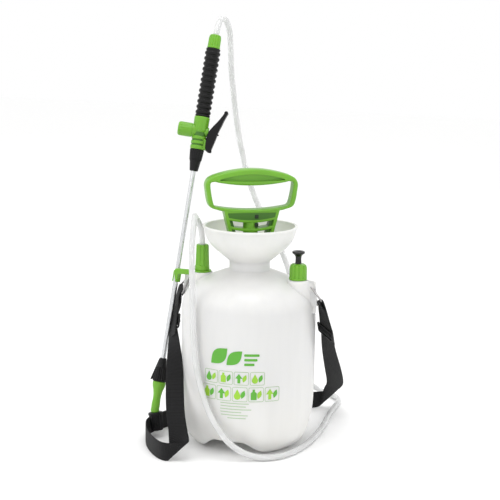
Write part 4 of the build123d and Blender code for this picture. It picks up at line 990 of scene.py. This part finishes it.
def make_trigger():
    """Trigger: a blade on the pin, a wide thumb pad, two cheeks and a nub on its back."""
    outer_edge = through([
        (PIVOT_X + 4.3, PIVOT_S - 1), (PIVOT_X + 6.6, PIVOT_S + 8), (PIVOT_X + 9, PIVOT_S + 18), (26.4, 409),
        (29.6, 419), (32.6, 429), (36.0, 438)
    ], 5)
    inner_edge = through([(31.6, 439), (29.2, 431), (25.2, 420), (22.2, 411), (20, 404), (17.2, 396),
                          (13.6, 389), (PIVOT_X - 3.4, PIVOT_S + 2)], 5)
    tip = arc((33.4, 438.0), 3.0, -5, 165, 8)
    foot = arc((PIVOT_X, PIVOT_S), 4.1, 150, 345, 12)
    blade = plate([outer_edge[:-1] + tip + inner_edge[1:-1] + foot[:-1]], TRIGGER_WIDTH, 1.6, MIDDLE)
    upper = [[q for q in edge if q[1] > PAD_LOW] for edge in (outer_edge[:-1], inner_edge[1:])]
    pad = plate([upper[0] + tip + upper[1]], PAD_WIDTH, 1.4, MIDDLE)
    hollow = through([
        (31.4, 438.5), (28, 432), (23.2, 424), (17.6, 416), (13.4, 409), (11.4, 402), (10.9, 395),
        (10.9, 389), (11.4, 384)
    ], 4)
    heel = [(12.6, 380.6), (15.6, 378.8), (19.6, 378.6), (20.9, 380.4)]
    side_outline = outer_edge[:-1] + tip + hollow[1:] + heel
    cheeks = [plate([side_outline], 1.7, 0.6, MIDDLE @ Matrix.Translation((0, 0, side * 8.65)))
              for side in (-1, 1)]
    nub = plate([rounded_box(2.2, 6.0, 0.9)], 4.4, 0.9,
                place(MIDDLE @ Vector((25.4, 405.5, 0)), lance_dir, lance_side))
    piece("trigger_lever", [blade, pad, *cheeks, nub], BLACK, "trigger", "trigger")


def make_lance_nuts():
    """Cone nut under the valve, the tube, and the flared lower nut with its fin."""
    low, high = LANCE_NUT_LOW, VALVE_LOW
    turned_piece("lance_nut_ribbed", [
        (3.75, low), (5.8, low), (6.3, low + 2), (8.0, low + 14), (8.2, low + 15), (8.9, low + 16),
        (9.1, low + 18), (10.3, high - 2), (10.0, high - 0.4), (5.05, high - 0.4), (5.05, low + 16),
        (3.75, low + 14)
    ], BLACK, "lance_nut", flutes(18, 0.9, low + 15, high - 1.2, 1.6, 0.022, 6.8), segments=160)
    top, foot = TUBE_NUT_TOP, ELBOW_TOP
    tube = [(2.9, foot + 10), (3.7, foot + 10), (3.7, high - 12.2), (2.9, high - 12.2)]
    turned_piece("lance_tube_drawn", tube, SILVER, "lance_tube", cut=0.2, segments=64)
    turned_piece("tube_nut_ribbed", [
        (3.75, top), (4.8, top), (5.4, top - 2.5), (6.2, top - 8), (6.9, top - 11), (8.2, top - 13.5),
        (8.6, top - 16), (9.6, foot + 9), (10.6, foot + 2.2), (10.2, foot + 0.4), (6.6, foot + 0.4),
        (6.6, foot + 9), (3.75, foot + 12)
    ], BLACK, "tube_nut", flutes(18, 0.9, foot + 1.6, top - 13, 1.8, outside=7.4), segments=144)
    fin = plate([[
        (4.0, top - 1), (5.6, top - 1.5), (12.6, foot + 6), (13.6, foot + 1.5), (12.4, foot + 0.8),
        (8.0, foot + 4), (6.0, foot + 10)
    ]], 2.0, 0.5, place(LANCE_FOOT, -lance_side, (-lance_side).cross(lance_dir)))
    piece("tube_nut_fin", [fin], BLACK, "tank", "tube_nut")


def make_nozzle():
    """Waisted elbow and the ribbed nozzle."""
    top, end = ELBOW_TOP, NOZZLE_LENGTH
    stem = lathe(soften([
        (0, -2), (5.9, 0), (6.1, 8), (5.6, 16), (5.9, 22), (7.2, 29), (9.0, 34), (9.5, top - 3), (9.3, top),
        (6.5, top), (6.5, top + 6.8), (0, top + 6.8)
    ], 1.4), LANCE, 72)
    turns = [math.pi * i / 16 for i in range(17)]
    knee = lathe([(KNEE_RADIUS * math.sin(t), -KNEE_RADIUS * math.cos(t)) for t in turns], LANCE, 48)
    spigot = lathe(soften([
        (0, 0), (KNEE_RADIUS, 0), (KNEE_RADIUS, 3), (5.0, 3), (5.0, end - 8), (0, end - 8)
    ], 0.4), NOZZLE, 64)
    piece("elbow_moulding", [stem, knee, spigot], GREEN, "tank", "nozzle_elbow")
    ribs = flutes(16, 0.9, 7.2, end - 1, 1.8, outside=8.0)
    turned_piece("nozzle_cap_ribbed", [
        (6.0, 3.4), (9.8, 3.4), (10.4, 4.6), (10.4, 6.6), (9.8, 7.4), (9.2, end - 6), (8.7, end - 1.6),
        (7.8, end), (2.4, end - 0.2), (1.2, end - 1), (1.2, end - 2.6), (5.6, end - 2.6), (5.6, end - 9),
        (5.05, end - 9), (5.05, 9.0), (6.0, 8.4)
    ], BLACK, "nozzle_cap", ribs, segments=144, body="nozzle", matrix=NOZZLE)


def make_clip():
    """Hook that holds the lance: eye under the nut, arm, and an open ring on the tube."""
    low, high = BOSS_TOP_Z + 0.05, BOSS_TOP_Z + 2.1
    eye = lathe(soften([(8.1, low), (13.2, low), (13.2, high), (8.1, high)], 0.5), OUTLET, 64, ring=True)
    arm_outline = soften([
        (-74, 242.2), (-74, 240.2), (-80, 240), (-86, 235.8), (-104, 235.4), (-105.4, 227), (-109.6, 227),
        (-110.4, 240), (-108.5, 243), (-90, 243), (-84, 242.2), (-74, 242.2)
    ], 1.6)[:-1]
    arm = plate([arm_outline], 5.4, 1.0, place((0, -10, 0), (1, 0, 0), (0, -1, 0)))
    start, end = CLIP_GAP[1], CLIP_GAP[0] + 360
    section = arc((0, 0), 6.4, start, end, 24) + arc((0, 0), 3.85, end, start, 24)
    at = Matrix.Translation((0, 0, (LANCE_CLIP - LANCE_FOOT).length))
    hook = plate([section], 16.0, 0.7, LANCE @ at)
    piece("clip_moulding", [eye, arm, hook], GREEN, "tank", "lance_clip")


make_grip()
make_valve()
make_trigger()
make_lance_nuts()
make_nozzle()
make_clip()


# -------- stage
def make_stage():
    """Plain pale floor and soft studio light."""
    floor = bpy.data.meshes.new("floor")
    shape = bmesh.new()
    bmesh.ops.create_grid(shape, x_segments=8, y_segments=8, size=6.0)
    shape.to_mesh(floor)
    shape.free()
    look = Look("floor_paper", (0.99, 0.99, 0.988), 0.9)
    look.vary(look.noise(40), 0.005)
    floor.materials.append(look.material)
    ground = bpy.data.objects.new("floor", floor)
    link(ground)
    world = bpy.data.worlds.new("studio")
    world.use_nodes = True
    world.node_tree.nodes["Background"].inputs["Color"].default_value = (1, 1, 1, 1)
    world.node_tree.nodes["Background"].inputs["Strength"].default_value = 1.0
    bpy.context.scene.world = world
    for name, energy, size, position, aim in (
        ("key_light", 8, 1.3, (-1.3, -1.5, 1.9), (0, 0, 0.2)),
        ("fill_light", 2, 1.6, (1.8, -1.0, 1.2), (0, 0, 0.25)),
        ("top_light", 9, 1.0, (0.05, -0.25, 2.0), (0, 0, 0.25)),
        ("back_light", 3, 1.4, (0.4, 1.8, 1.8), (0, 0, 0.25)),
    ):
        data = bpy.data.lights.new(name, "AREA")
        data.energy, data.size = energy, size
        lamp = bpy.data.objects.new(name, data)
        lamp.location = position
        lamp.rotation_euler = (Vector(aim) - Vector(position)).to_track_quat("-Z", "Y").to_euler()
        link(lamp)
    bpy.context.scene.view_settings.view_transform = "Standard"


make_stage()
